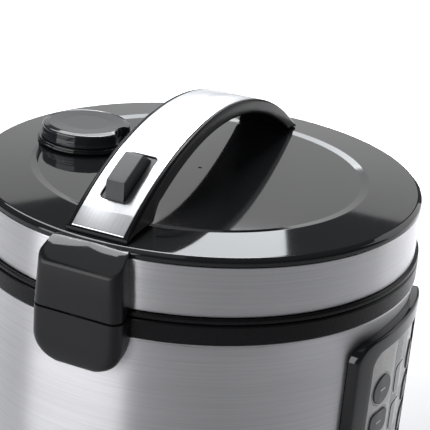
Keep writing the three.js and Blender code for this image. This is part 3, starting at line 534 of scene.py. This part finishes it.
# ------------------------------------------------------------------ lid
def make_lid():
    """The lid's steel band, seam ring, polished top, inner plate and gasket."""
    band = ring_profile([
        (BAND_R, BAND_LOW), (BAND_R, BAND_TOP), (BAND_R - 1, BAND_TOP), (BAND_R - 1, BAND_LOW)], 0.3)
    piece("lid_band_skin", turned(band), "lid", BAND_STEEL, ["lid_band"])

    z = BAND_TOP + 0.3
    step = LID_TOP
    middle = LID_TOP - 0.8
    rim = BAND_TOP + 4.6
    under = middle - 2.4
    top = rounded([
        (0, under), (0, middle - 1.1), (0.9, middle - 1.0), (1.15, middle), (90.5, middle), (95.2, step),
        (BAND_R - 2.4, rim), (BAND_R, rim - 1.6), (BAND_R, z), (BAND_R - 3, z), (BAND_R - 4, under),
        (0, under)],
        [0, 0, 0.2, 0.25, 2.2, 2.2, 2.0, 1.8, 0.5, 0.3, 0.3, 0], steps=8)
    piece("lid_top_skin", turned(top, 256), "lid", GLOSS_BLACK, ["lid_top"])

    low_z, top_z = RING_LOW, BAND_LOW - 0.3
    chassis_top = high("lid_chassis", 2)
    roof = low("lid_chassis", 2) + 3.4
    chassis = rounded([
        (0, roof), (113.9, roof), (113.9, low_z), (RING_R, low_z), (RING_R, top_z), (BAND_R - 1.3, top_z),
        (BAND_R - 1.3, chassis_top), (BAND_R - 5.3, chassis_top), (BAND_R - 5.3, roof + 2.5),
        (0, roof + 2.5)],
        [0, 0.4, 0.5, 0.6, 0.9, 0.2, 0.4, 0.4, 0.4, 0])
    piece("lid_chassis_skin", turned(chassis), "lid", COLLAR_BLACK, ["lid_chassis"])

    plate, plate_top = low("inner_lid_plate", 2), high("inner_lid_plate", 2)
    dish = rounded([
        (0, plate), (101, plate), (103, plate_top - 1.2), (107, plate_top - 1.2), (107, plate_top),
        (102, plate_top), (100, plate + 1.2), (0, plate + 1.2)], [0, 1.5, 1.2, 0.4, 0.4, 1.2, 1.5, 0])
    piece("inner_lid_plate_skin", turned(dish), "lid", ALUMINIUM, ["inner_lid_plate"])

    gasket_low, gasket_top, out = low("lid_gasket", 2), high("lid_gasket", 2), high("lid_gasket", 0)
    gasket = ring_profile([
        (out - 6.2, gasket_top), (out, gasket_top), (out, SEAM), (out - 1.6, gasket_low),
        (out - 3.1, gasket_low), (out - 3.1, SEAM - 0.5), (out - 6.2, SEAM + 1)], 0.5)
    piece("lid_gasket_skin", turned(gasket), "lid", SILICONE, ["lid_gasket"])


def make_vent():
    """The vent seat with its two rings, and the loose cap whose rim is scooped for a finger.

    The cap's radius at angle a is the smaller of its own and the far crossing of the scoop circle:
    c cos a - sqrt(s^2 - c^2 sin^2 a), for a circle of radius s whose centre is c from the axis.
    """
    (x0, y0, z0), (x1, y1, z1) = (np.array(c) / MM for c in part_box("vent_seat"))
    centre = ((x0 + x1) / 2, (y0 + y1) / 2)
    seat_r = (x1 - x0) / 2
    cap_low = z1 + 0.3
    hole = 12.3
    seat = ring_profile([
        (hole, z0), (seat_r, z0), (seat_r, z0 + 1.0), (seat_r - 0.7, z0 + 1.25), (seat_r - 0.7, z1),
        (hole, z1)], [0.2, 0.3, 0.45, 0.2, 0.5, 0.3])
    piece("vent_seat_skin", turned(seat, AROUND_SMALL, centre), "lid", GLOSS_BLACK,
          ["vent_seat"])

    cap_top = high("steam_cap", 2)
    skirt = (high("steam_cap", 0) - low("steam_cap", 0)) / 2
    rim = skirt - 0.7
    bore, plug, plug_low = 8.0, 9.6, low("steam_cap", 2)
    profile = rounded([
        (0, cap_top - 3), (0, cap_top - 0.9), (rim * 0.5, cap_top - 0.8), (rim * 0.86, cap_top - 0.35),
        (rim, cap_top - 1.2), (rim + 0.1, cap_low + 3.4), (skirt - 0.5, cap_low + 2.9),
        (skirt - 0.4, cap_low + 1.6), (skirt, cap_low + 1.3), (skirt, cap_low), (plug, cap_low),
        (plug, plug_low), (bore, plug_low), (bore, cap_top - 3), (0, cap_top - 3)],
        [0, 0, 8, 3.0, 1.3, 0.6, 0.3, 0.3, 0.3, 0.4, 0.3, 0.3, 0.3, 0.3, 0], steps=6)
    around = 256
    angle = np.linspace(0, 2 * math.pi, around, endpoint=False)
    scoop, reach = 12.0, rim + 12.0 - 4.5
    off = np.minimum(np.abs(angle), 2 * math.pi - np.abs(angle))
    inside = np.clip(scoop ** 2 - (reach * np.sin(off)) ** 2, 0, None)
    cut = np.where(np.abs(reach * np.sin(off)) < scoop, reach * np.cos(off) - np.sqrt(inside), 1e3)
    cut = np.where(off < math.pi / 3, cut, 1e3)
    r, z = profile[:, 0][:, None], profile[:, 1][:, None]
    lift = np.clip((z - (cap_low + 1.4)) / 0.5, 0, 1)
    limit = np.maximum(cut[None, :] - np.clip((z - (cap_top - 1.2)), 0, 1) * 0.5, plug + 3)
    held = np.minimum(r, limit) * lift + r * (1 - lift)
    points = np.stack(np.broadcast_arrays(
        centre[0] + held * np.sin(angle), centre[1] - held * np.cos(angle), z), -1)
    piece("steam_cap_skin", sheet(points, wrap_columns=True), "steam_cap", CAP_BLACK,
          ["steam_cap"])


# ------------------------------------------------------------------ handle
HANDLE_OFFSET, HANDLE_ARC = 8.0, 180.0
HANDLE_CROWN = high("handle_frame", 2)
HANDLE_NEAR, HANDLE_FAR = -low("handle_frame", 0), high("handle_frame", 0)
HANDLE_HALF = high("handle_frame", 1)
OPENING_NEAR = BAND_R - 22.0
OPENING_FAR = OPENING_NEAR - 31.2
OPENING_HALF = 8.6
INLAY_HALF = high("handle_inlay", 1)
STEP_R = 95.5


def handle_top(s):
    """Height of the handle's top at s toward the latch: an arc of radius 180 about s = 8."""
    return HANDLE_CROWN - HANDLE_ARC + np.sqrt(HANDLE_ARC ** 2 - (np.asarray(s) - HANDLE_OFFSET) ** 2)


def lid_surface(s):
    """Height of the lid's top at radius s: level in the middle, a step up, then a slow fall to the rim."""
    outer = LID_TOP + (s - STEP_R) / (BAND_R - 2 - STEP_R) * -1.4
    return np.where(s > STEP_R, outer, LID_TOP)


def handle_under(s):
    """Height of the handle's underside: 8.6 under the top, deeper toward each foot, then on the lid."""
    d = np.abs(s - HANDLE_OFFSET)
    swell = np.where(s > HANDLE_OFFSET, 3.6, 1.2)
    free = handle_top(s) - 8.6 - swell * np.minimum(1, (d / 75) ** 2)
    seat = lid_surface(np.abs(s)) + 0.3
    foot = np.where(s > 0, s - (BAND_R - 33), -s - (BAND_R - 34))
    blend = np.clip((foot + 6) / 6, 0, 1) ** 2.2
    return np.maximum(free * (1 - blend) + seat * blend, seat)


def make_handle_frame():
    """The handle's black frame.

    Across each station the section is a rounded bar; its top carries a recess for the inlay and, under
    the release button, a deeper well. Stations crowd where the recess and the well begin and end.
    """
    well_from, well_to = OPENING_FAR, OPENING_NEAR + 0.6
    inlay_from, inlay_to = -HANDLE_FAR + 2.7, HANDLE_NEAR - 0.9
    marks = [-HANDLE_FAR, -HANDLE_FAR + 0.4, -HANDLE_FAR + 1.0, inlay_from - 0.02, inlay_from + 0.02,
             well_from - 0.02, well_from + 0.02, well_to - 0.02, well_to + 0.02,
             inlay_to - 0.02, inlay_to + 0.02, HANDLE_NEAR - 0.6, HANDLE_NEAR - 0.3, HANDLE_NEAR]
    s = np.unique(np.concatenate([marks, np.linspace(-HANDLE_FAR, HANDLE_NEAR, 180)]))
    top, under = handle_top(s), handle_under(s)
    edge = np.minimum(s + HANDLE_FAR, HANDLE_NEAR - s)
    ease = 0.8 * (1 - np.sqrt(np.clip(1 - (1 - np.clip(edge / 0.8, 0, 1)) ** 2, 0, 1)))
    top = top - ease
    half = HANDLE_HALF - ease * 0.6
    groove = np.where((s > inlay_from) & (s < inlay_to), 1.3, 0.0)
    pit = np.where((s > well_from) & (s < well_to), 8.8, 0.0)

    corner = 2.2
    bend = np.linspace(0, math.pi / 2, 7)
    lip = INLAY_HALF + 0.35
    depth = top - under
    round_low = np.minimum(2.6, depth * 0.4)
    round_top = np.minimum(corner, depth * 0.4)

    columns = []
    for side in (1, -1):
        part = []
        for a in bend:
            part.append((half - round_low * (1 - np.sin(a)), under + round_low * (1 - np.cos(a))))
        for a in bend:
            part.append((half - round_top * (1 - np.cos(a)), top - round_top * (1 - np.sin(a))))
        part.append((np.full_like(s, lip + 0.25), top))
        part.append((np.full_like(s, lip), top - np.minimum(groove, 0.25)))
        part.append((np.full_like(s, lip), top - groove))
        part.append((np.full_like(s, 9.0), top - groove))
        part.append((np.full_like(s, 8.9), top - np.maximum(groove, pit)))
        part.append((np.zeros_like(s), top - np.maximum(groove, pit)))
        if side < 0:
            part = part[::-1]
        columns += [(side * y, z) for y, z in part]
    ring = np.stack([np.stack([-s, y, z], -1) for y, z in columns], 1)
    caps = [np.repeat(end.mean(1, keepdims=True), ring.shape[1], 1) for end in (ring[:1], ring[-1:])]
    body = np.concatenate([caps[0], ring, caps[1]])
    piece("handle_frame_skin", sheet(body, wrap_columns=True), "lid", HANDLE_BLACK,
          ["handle_frame"])


def rounded_loop(half_u, half_v, radius, per_side=14, per_corner=6):
    """Points round a rectangle with rounded corners, the same count for any size."""
    loop = []
    for cu, cv, start in ((1, -1, -0.5), (1, 1, 0.0), (-1, 1, 0.5), (-1, -1, 1.0)):
        centre = np.array([cu * (half_u - radius), cv * (half_v - radius)])
        a = math.pi * (start + 0.5 * np.linspace(0, 1, per_corner + 1))
        arc = centre + radius * np.stack([np.cos(a), np.sin(a)], -1)
        loop.append(arc)
    out = []
    for i, arc in enumerate(loop):
        nxt = loop[(i + 1) % 4][0]
        t = np.linspace(0, 1, per_side + 1)[1:-1, None]
        out += [arc, arc[-1] * (1 - t) + nxt * t]
    return np.vstack(out)


def on_handle(s, y, above=0.0):
    """A point at s toward the latch and y across, a height above the handle's top."""
    return np.stack(np.broadcast_arrays(-np.asarray(s), y, handle_top(s) + above), -1)


def make_inlay():
    """The steel strip let into the handle, with a round-cornered window for the button.

    Two plain stretches meet a patch whose grid runs from the patch's straight border to the window.
    """
    start, end = -HANDLE_FAR + 3.0, HANDLE_NEAR - 1.2
    middle, half_length = (OPENING_NEAR + OPENING_FAR) / 2, (OPENING_NEAR - OPENING_FAR) / 2
    patch = half_length + 5
    thick = 1.0

    def strip(a, b, count):
        """A plain stretch of the strip, from a to b toward the latch, with softened long edges."""
        s = np.linspace(a, b, count)[:, None]
        y = np.array([-INLAY_HALF, -INLAY_HALF + 0.25, INLAY_HALF - 0.25, INLAY_HALF])[None, :]
        return on_handle(s, y, -np.array([0.12, 0, 0, 0.12])[None, :])

    tuck = np.array([0, 0, -0.04])
    long_run, short_run = strip(start, middle - patch, 120), strip(middle + patch, end, 16)
    long_run = np.concatenate([long_run, strip(middle - patch + 0.3, middle - patch + 0.3, 1) + tuck])
    short_run = np.concatenate([strip(middle + patch - 0.3, middle + patch - 0.3, 1) + tuck, short_run])
    parts = [sheet(long_run), sheet(short_run)]
    inner = rounded_loop(half_length, OPENING_HALF, 2.6)
    outer = rounded_loop(patch, INLAY_HALF, 0.001)
    edge = np.where(np.abs(outer[:, 1]) > INLAY_HALF - 0.01, 0.12, 0.0)
    levels = []
    for t in (0.0, 0.03, 0.1, 0.2, 0.3, 0.4, 0.5, 0.6, 0.7, 0.8, 0.95, 1.0):
        flat = outer * (1 - t) + inner * t
        fall = edge if t == 0 else (0.15 if t == 1.0 else 0.0)
        levels.append(on_handle(middle + flat[:, 0], flat[:, 1], -fall))
    levels.append(on_handle(middle + inner[:, 0], inner[:, 1], -thick))
    parts.append(sheet(np.array(levels), wrap_columns=True))
    vertices, faces = joined(*parts)
    a, b, c = (vertices[faces[:, k]] for k in range(3))
    up = np.cross(b - a, c - a)[:, 2]
    faces = np.where((up < 0)[:, None], faces[:, ::-1], faces)
    obj = piece("handle_inlay_skin", (vertices, faces), "lid", INLAY_STEEL,
                ["handle_inlay"], turn=False)
    wall = obj.modifiers.new("thickness", "SOLIDIFY")
    wall.thickness = 0.8 * MM
    wall.offset = -1


def soft_box(low_corner, high_corner, radius, count=6):
    """A box whose edges are rounded: each point is the inner box's nearest point pushed out by radius."""
    low_corner, high_corner = np.array(low_corner, float), np.array(high_corner, float)
    centre, half = (low_corner + high_corner) / 2, (high_corner - low_corner) / 2
    core = np.maximum(half - radius, 0)
    parts = []
    for axis in range(3):
        for sign in (-1, 1):
            grids = []
            for k in range(3):
                if k == axis:
                    continue
                bend = np.sin(np.linspace(-math.pi / 4, 0, count)) / math.sin(math.pi / 4)
                grids.append(np.concatenate([-core[k] + bend * radius, core[k] - bend[::-1] * radius]))
            a, b = np.meshgrid(*grids, indexing="ij")
            point = np.zeros((*a.shape, 3))
            others = [k for k in range(3) if k != axis]
            point[..., others[0]], point[..., others[1]] = a, b
            point[..., axis] = sign * half[axis]
            inner = np.clip(point, -core, core)
            away = point - inner
            away /= np.maximum(np.linalg.norm(away, axis=-1, keepdims=True), 1e-9)
            shape = inner + away * radius
            if (sign > 0) == (axis != 1):
                parts.append(sheet(centre + shape))
            else:
                parts.append(sheet((centre + shape)[::-1]))
    return joined(*parts)


def make_button():
    """The release button: upright toward the latch, level with the handle's slope on top, sloping behind.

    A rounded block, one unit long, is drawn out to the wedge's length, which shrinks with height by the
    slope of its back; its heights run from the skirt up to a straight line between two rises. Below are
    the skirt and the lip that ride on the handle's arc, and the upright leg.
    """
    near = OPENING_NEAR - 0.8
    top_length, back, half = 19.0, 10.0, 5.3
    rise_near, rise_far = 9.9, 8.9
    skirt_top, skirt_low, lip_low = -0.8, -2.8, -4.2        # above the handle's top
    grip, block_high = 3.5, 10.0

    block, faces = soft_box((0, -half, 0), (1, half, block_high), 0.7, 5)
    height = block[:, 2] / block_high
    s = near - np.clip(block[:, 0], 0, 1) * (top_length + back * (1 - height))
    along = np.clip((near - s) / top_length, 0, 1)
    upper = (handle_top(near) + rise_near) * (1 - along)
    upper = upper + (handle_top(near - top_length) + rise_far) * along
    lower = handle_top(s) + skirt_top - 0.5
    parts = [(np.stack([-s, block[:, 1], lower + (upper - lower) * height], -1), faces)]

    skirt, faces = soft_box((OPENING_FAR + 0.3, -OPENING_HALF + 0.3, skirt_low),
                            (OPENING_NEAR - 0.3, OPENING_HALF - 0.3, skirt_top), 0.5, 8)
    parts.append((on_handle(*skirt.T), faces))
    lip, faces = soft_box((OPENING_NEAR - 4, -grip, lip_low), (OPENING_NEAR + 3.7, grip, -2.5), 0.4, 3)
    parts.append((on_handle(*lip.T), faces))
    leg = BAND_R - 27.5
    parts.append(soft_box((-leg - 1.5, -grip, low("release_button", 2)),
                          (-leg + 1.5, grip, float(handle_top(leg)) - 1.8), 0.4, 3))
    piece("release_button_skin", joined(*parts), "release_button", BUTTON_GREY,
          ["release_button"])


# ------------------------------------------------------------------ latch box
def box_outline(front, half_front, half_back, back, corner, nose=9):
    """The latch box's plan: its sides draw in toward the body and its front corners are round."""
    a = np.linspace(0, math.pi / 2, nose)
    right = np.stack([front - corner + corner * np.sin(a), -(half_front - corner) - corner * np.cos(a)], -1)
    run = np.linspace(0, 1, 6)[:-1]
    side = np.stack([back + (front - corner - back) * run,
                     -(half_back + (half_front - half_back) * run)], -1)
    across = np.linspace(-(half_front - corner), half_front - corner, 11)[1:-1]
    flat = np.stack([np.full(len(across), front), across], -1)
    mirror = np.array([1, -1])
    return np.vstack([side, right, flat, right[::-1] * mirror, side[::-1] * mirror])


def stacked(outline, heights):
    """A level of the latch box: its plan, toward the latch, at one height or at a height per point."""
    return np.column_stack([-outline[:, 0], outline[:, 1], np.broadcast_to(heights, len(outline))])


def capped(rows, ends="both"):
    """A closed surface through outlines, whose first outline, and last if both, is drawn onto its middle."""
    shut = [rows[k].copy() for k in (0, -1)]
    for level in shut:
        level[:, 1] = 0
    levels = [shut[0], *rows, shut[1]] if ends == "both" else [shut[0], *rows]
    return sheet(np.array(levels), wrap_columns=True)


def make_latch_box():
    """The two halves of the latch box: stacks of closed outlines that widen away from the body.

    The upper half's roof slants from the crest by the lid down to the brow at the front and carries a
    thin glossy plate. The lower half's outlines shrink by r - sqrt(r^2 - d^2) near its floor, where d
    is the depth into the round of radius r.
    """
    half, front = high("latch_housing_lower", 1), HOUSING_X
    back, corner, edge = 122.9, 5.5, 1.2
    brow, crest = SEAM + 24.4, high("latch_housing_upper", 2)
    low_z = low("latch_housing_upper", 2)
    plate_rise = 0.16

    def roof(outline):
        """Height of the roof over an outline: a slant from the crest down to the brow, a little arched."""
        t = np.clip((outline[:, 0] - BAND_R) / (front - BAND_R), 0, 1)
        return crest + (brow - crest) * (0.70 * t + 0.30 * t ** 2)

    def plan(inset, share=1.0):
        """The plan at a share of the wall's height: narrower toward the top."""
        return box_outline(front - inset, half - 1.6 * share - inset, half - 2.4 - 1.2 * share - inset,
                           back, corner)

    def closing(inset, rise):
        """Outlines that close the roof onto its middle line."""
        levels = []
        for share in (0.8, 0.4, 0.0):
            outline = plan(inset)
            outline[:, 0] = back + (outline[:, 0] - back) * (0.3 + 0.7 * share)
            heights = roof(outline) + rise
            outline[:, 1] *= share
            levels.append(stacked(outline, heights))
        return levels

    rows = []
    for inset, share in ((0.4, 0.0), (0.0, 0.02), (0.0, 0.5), (0.0, 1.0)):
        outline = plan(inset, share)
        rows.append(stacked(outline, low_z + (roof(outline) - edge - low_z) * share))
    for a in np.linspace(0, math.pi / 2, 6)[1:]:
        outline = plan(edge * (1 - math.cos(a)))
        rows.append(stacked(outline, roof(outline) - edge + edge * math.sin(a)))
    piece("latch_box_upper", capped(rows + closing(edge + 0.6, 0), "first"), "lid", SATIN_BLACK,
          ["latch_housing_upper"])

    plate = []
    for inset, rise in ((edge - 0.6, -0.9), (edge - 0.5, 0.02), (edge + 0.3, plate_rise)):
        outline = plan(inset)
        plate.append(stacked(outline, roof(outline) + rise))
    piece("latch_box_roof", capped(plate + closing(edge + 0.3, plate_rise), "first"), "lid", GLOSS_BLACK)

    top, bottom = high("latch_housing_lower", 2), low("latch_housing_lower", 2)
    foot = 16.0
    round_drops = foot * np.cos(np.linspace(0, math.pi / 2, 18))[1:]
    rows = []
    for drop in [*np.linspace(top - bottom, foot, 8), *round_drops]:
        into = foot - min(drop, foot)
        inset = foot - math.sqrt(max(foot ** 2 - into ** 2, 0.0))
        wide = max(half - inset, half - foot + 0.6)
        rows.append(stacked(box_outline(front - inset * 0.35, wide, wide - 1.6, back, corner), bottom + drop))
    piece("latch_box_lower", capped(rows), "body", SATIN_BLACK, ["latch_housing_lower"])


# ------------------------------------------------------------------ control panel
def round_box(u, v, half_u, half_v, corner):
    """Signed distance from a rounded rectangle's edge, in millimetres; below zero is inside."""
    du = (abs(u) - (half_u - corner)).most(0.0)
    dv = (abs(v) - (half_v - corner)).most(0.0)
    return (du ** 2.0 + dv ** 2.0) ** 0.5 - corner


def face_print(name, tone, ink, frames):
    """A printed, slightly pearly face: fine speckle, a slow drift, and thin outlines round its openings.

    Each frame is (x, z, half width, half height, corner); its line lies 0.9 to 1.5 outside the opening.
    """
    finish = Finish(name)
    x, _, z = finish.axes()
    speck = finish.noise(finish.place((2600, 2600, 2600)), 1.0, 2.0, 0.6)
    drift = finish.noise(finish.place((22, 22, 22)), 1.0, 2.0, 0.5)
    dark, light = (tuple(c * k for c in tone) for k in (0.96, 1.03))
    paint = finish.blend(speck * 0.6 + drift * 0.4, dark, light)
    line = None
    for cx, cz, half_u, half_v, corner in frames:
        off = round_box(x - cx, z - cz, half_u, half_v, corner)
        mark = off.above(0.9) * off.below(1.5)
        line = mark if line is None else line.most(mark)
    if line is not None:
        paint = finish.blend(line, paint, ink)
    return finish.set(Base_Color=paint, Roughness=speck * 0.08 + drift * 0.05 + 0.22,
                      Coat_Weight=0.25, Coat_Roughness=0.1, Normal=finish.bump(speck, 0.05, 0.00004))


def key_cap(name, tone, middle, plus):
    """A satin key whose cap carries a minus or a plus moulded in paler plastic."""
    finish = Finish(name)
    x, _, z = finish.axes()
    u, v = abs(x - middle[0]), abs(z - middle[1])
    bar = u.below(2.6) * v.below(0.45)
    mark = bar.most(v.below(2.6) * u.below(0.45)) if plus else bar
    speck = finish.noise(finish.place((1800, 1800, 1800)), 1.0, 2.0, 0.6)
    drift = finish.noise(finish.place((90, 90, 90)), 1.0, 2.0, 0.5)
    body = finish.blend(drift, tuple(c * 0.93 for c in tone), tuple(c * 1.07 for c in tone))
    return finish.set(Base_Color=finish.blend(mark, body, (0.72, 0.72, 0.71)),
                      Roughness=speck * 0.1 + drift * 0.06 + 0.30, Normal=finish.bump(speck, 0.08, 0.00005))


def window_glass(name):
    """A dark display window: a faint grid of unlit cells under a polished face."""
    finish = Finish(name)
    x, _, z = finish.axes()
    cell = finish.node("ShaderNodeMath", {"operation": "FRACT"}, x * 0.8)
    row = finish.node("ShaderNodeMath", {"operation": "FRACT"}, z * 0.8)
    seam = cell.below(0.12).most(row.below(0.12))
    flow = finish.noise(finish.place((30, 30, 30)), 1.0, 2.0, 0.5)
    return finish.set(Base_Color=finish.blend(seam, (0.016, 0.019, 0.024), (0.011, 0.013, 0.017)),
                      Roughness=flow * 0.04 + 0.05, Coat_Weight=0.6, Coat_Roughness=0.03,
                      Normal=finish.bump(flow, 0.03, 0.0004))


def box_middle(node):
    """Middle (x, z) and half sizes of a node's box, in millimetres."""
    (x0, _, z0), (x1, _, z1) = (np.array(c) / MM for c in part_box(node))
    return (x0 + x1) / 2, (z0 + z1) / 2, (x1 - x0) / 2, (z1 - z0) / 2


def panel_outline(half, bottom, top, corner, arch, per_side=40, per_corner=8):
    """A panel's closed outline in x and z: straight sides, round corners and an arched top.

    Near the top, the outline falls by arch (x / half)^2 toward its corners.
    """
    loop = rounded_loop(half, (top - bottom) / 2, corner, per_side, per_corner)
    loop[:, 1] += (top + bottom) / 2
    share = np.clip((loop[:, 1] - bottom) / (top - bottom), 0, 1)
    loop[:, 1] += -arch * share ** 4 * (loop[:, 0] / half) ** 2
    return loop


def on_drum(loop, radius):
    """An outline wrapped on an upright drum of a radius, on the panel's side."""
    return np.column_stack([loop[:, 0], -np.sqrt(radius ** 2 - loop[:, 0] ** 2), loop[:, 1]])


def make_panel():
    """The glossy bezel, wrapped on the body, with softened edges, and the finishes of what it frames."""
    half, bottom, top = high("panel_bezel", 0), low("panel_bezel", 2), high("panel_bezel", 2)
    front, back = -low("panel_bezel", 1), SHELL_R + 0.3
    bend, inner_bend = 1.4, 0.5
    outer = panel_outline(half, bottom, top, 11.0, 3.4)
    inner = panel_outline(half - BEZEL_SIDE, bottom + BEZEL_FOOT, top - BEZEL_HEAD, 9.0, 1.0)

    def drawn_in(loop, inset):
        """An outline scaled in toward its middle by an inset."""
        middle = (loop.max(0) + loop.min(0)) / 2
        size = (loop.max(0) - loop.min(0)) / 2
        return middle + (loop - middle) * (size - inset) / size

    rows = [on_drum(outer, back), on_drum(outer, front - bend)]
    for a in np.linspace(0, math.pi / 2, 6)[1:]:
        rows.append(on_drum(drawn_in(outer, bend * (1 - math.cos(a))), front - bend * (1 - math.sin(a))))
    for share in (0.25, 0.5, 0.75):
        loop = drawn_in(outer, bend) * (1 - share) + drawn_in(inner, -inner_bend) * share
        rows.append(on_drum(loop, front))
    for a in np.linspace(0, math.pi / 2, 5):
        rows.append(on_drum(drawn_in(inner, -inner_bend * (1 - math.sin(a))),
                            front - inner_bend * (1 - math.cos(a))))
    rows += [on_drum(inner, back), on_drum(outer, back)]
    piece("panel_bezel_skin", sheet(np.array(rows), wrap_columns=True), "body", GLOSS_BLACK,
          ["panel_bezel"])

    windows = [(*box_middle(f"display_window_{i}"), 3.0) for i in (1, 2, 3)]
    NODE_FINISH["panel_centre"] = face_print("centre_face", (0.25, 0.27, 0.285), (0.62, 0.63, 0.64), windows)
    for side_name in ("left", "right"):
        keys = []
        for i in (1, 2, 3):
            middle = box_middle(f"key_{side_name}_{i}")
            keys.append((*middle, middle[2] if i == 1 else 4.0))
            NODE_FINISH[f"key_{side_name}_{i}"] = key_cap(
                f"key_{side_name}_{i}_cap", (0.135, 0.14, 0.145), middle, side_name == "right")
        NODE_FINISH[f"panel_face_{side_name}"] = face_print(
            f"{side_name}_face", (0.68, 0.67, 0.65), (0.33, 0.33, 0.33), keys)
    glass = window_glass("display_glass")
    for i in (1, 2, 3):
        NODE_FINISH[f"display_window_{i}"] = glass


make_base()
make_shell()
make_collar()
make_pot()
make_lid()
make_vent()
make_handle_frame()
make_inlay()
make_button()
make_latch_box()
make_panel()

# ------------------------------------------------------------------ finishes of the plain nodes
for node, material in NODE_FINISH.items():
    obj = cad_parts[node]
    obj.data.materials.clear()
    obj.data.materials.append(material)


# ------------------------------------------------------------------ camera
CAMERA_FAR = 750.0            # from the middle of the lid's upper edge
CAMERA_RISE = math.radians(20.29)
CAMERA_TURN = math.radians(-66.3)
PAN, TILT, ROLL = (math.radians(a) for a in (-0.79, -1.62, -4.56))
LENS, SENSOR = 111.15, 36.0


def make_camera():
    """The camera stands off the panel's left, above the lid, panned, tilted and rolled a little."""
    turn = Matrix.Rotation(CAMERA_TURN, 3, "Z")
    away = turn @ Vector((0, -math.cos(CAMERA_RISE), math.sin(CAMERA_RISE)))
    ahead, right = -away, turn @ Vector((1, 0, 0))
    up = right.cross(ahead)
    pan = Matrix.Rotation(PAN, 3, up)
    ahead, right = pan @ ahead, pan @ right
    tilt = Matrix.Rotation(TILT, 3, right)
    ahead, up = tilt @ ahead, tilt @ up
    roll = Matrix.Rotation(ROLL, 3, ahead)
    right, up = roll @ right, roll @ up
    data = bpy.data.cameras.new("camera")
    data.lens, data.sensor_width = LENS, SENSOR
    data.clip_start, data.clip_end = 0.01, 50
    camera = bpy.data.objects.new("camera", data)
    bpy.context.scene.collection.objects.link(camera)
    matrix = Matrix((right, up, -ahead)).transposed().to_4x4()
    matrix.translation = away * CAMERA_FAR * MM + Vector((0, 0, BAND_TOP * MM))
    camera.matrix_world = matrix
    bpy.context.scene.camera = camera


# ------------------------------------------------------------------ studio
def lamp(name, azimuth, elevation, distance, width, height, power, colour=(1, 1, 1)):
    """A soft panel light that faces the cooker from an azimuth (anticlockwise from +X) and elevation."""
    a, e = math.radians(azimuth), math.radians(elevation)
    aim = Vector((0, 0, 0.16))
    away = Vector((math.cos(a) * math.cos(e), math.sin(a) * math.cos(e), math.sin(e)))
    data = bpy.data.lights.new(name, "AREA")
    data.shape = "RECTANGLE"
    data.size, data.size_y = width, height
    data.energy = power
    data.color = colour
    light = bpy.data.objects.new(name, data)
    bpy.context.scene.collection.objects.link(light)
    light.location = aim + away * distance
    light.rotation_mode = "QUATERNION"
    light.rotation_quaternion = away.to_track_quat("Z", "Y")
    light.visible_camera = False
    return light


def make_studio():
    """A pale floor, a dim even sky, soft panels all round, and one that lights the floor behind."""
    size = 30.0
    corners = [(-size, -size, 0), (size, -size, 0), (size, size, 0), (-size, size, 0)]
    mesh = bpy.data.meshes.new("floor")
    mesh.from_pydata(corners, [], [(0, 1, 2, 3)])
    floor = bpy.data.objects.new("floor", mesh)
    bpy.context.scene.collection.objects.link(floor)
    finish = Finish("floor_paper")
    grain = finish.noise(finish.place((3, 3, 3)), 1.0, 2.0, 0.5)
    floor.data.materials.append(finish.set(
        Base_Color=finish.blend(grain, (0.46, 0.46, 0.47), (0.48, 0.48, 0.49)), Roughness=0.9,
        Specular_IOR_Level=0.1))

    world = bpy.data.worlds.new("sky")
    bpy.context.scene.world = world
    world.use_nodes = True
    sky = world.node_tree.nodes["Background"]
    sky.inputs[0].default_value = (0.93, 0.94, 0.97, 1)
    sky.inputs[1].default_value = 0.10

    lamp("lamp_back", 45, 56, 1.6, 1.4, 1.0, 24, (0.98, 0.99, 1.0))
    lamp("lamp_strip", 23.5, 32, 1.6, 0.37, 0.35, 2.2, (0.94, 0.97, 1.0))
    lamp("lamp_behind", 33, 17, 2.4, 2.4, 0.8, 5)
    lamp("lamp_top", 110, 72, 1.7, 1.5, 1.0, 1.8)
    lamp("lamp_left", 152, 10, 1.5, 1.4, 1.2, 22)
    lamp("lamp_right", -33, 18, 1.5, 1.2, 1.2, 5)
    ground = lamp("lamp_ground", 21, 46, 1.95, 1.3, 1.0, 46)
    ground.rotation_quaternion = (1, 0, 0, 0)           # straight down
    ground.data.spread = math.radians(85)
    bpy.context.scene.view_settings.view_transform = "Standard"


make_camera()
make_studio()
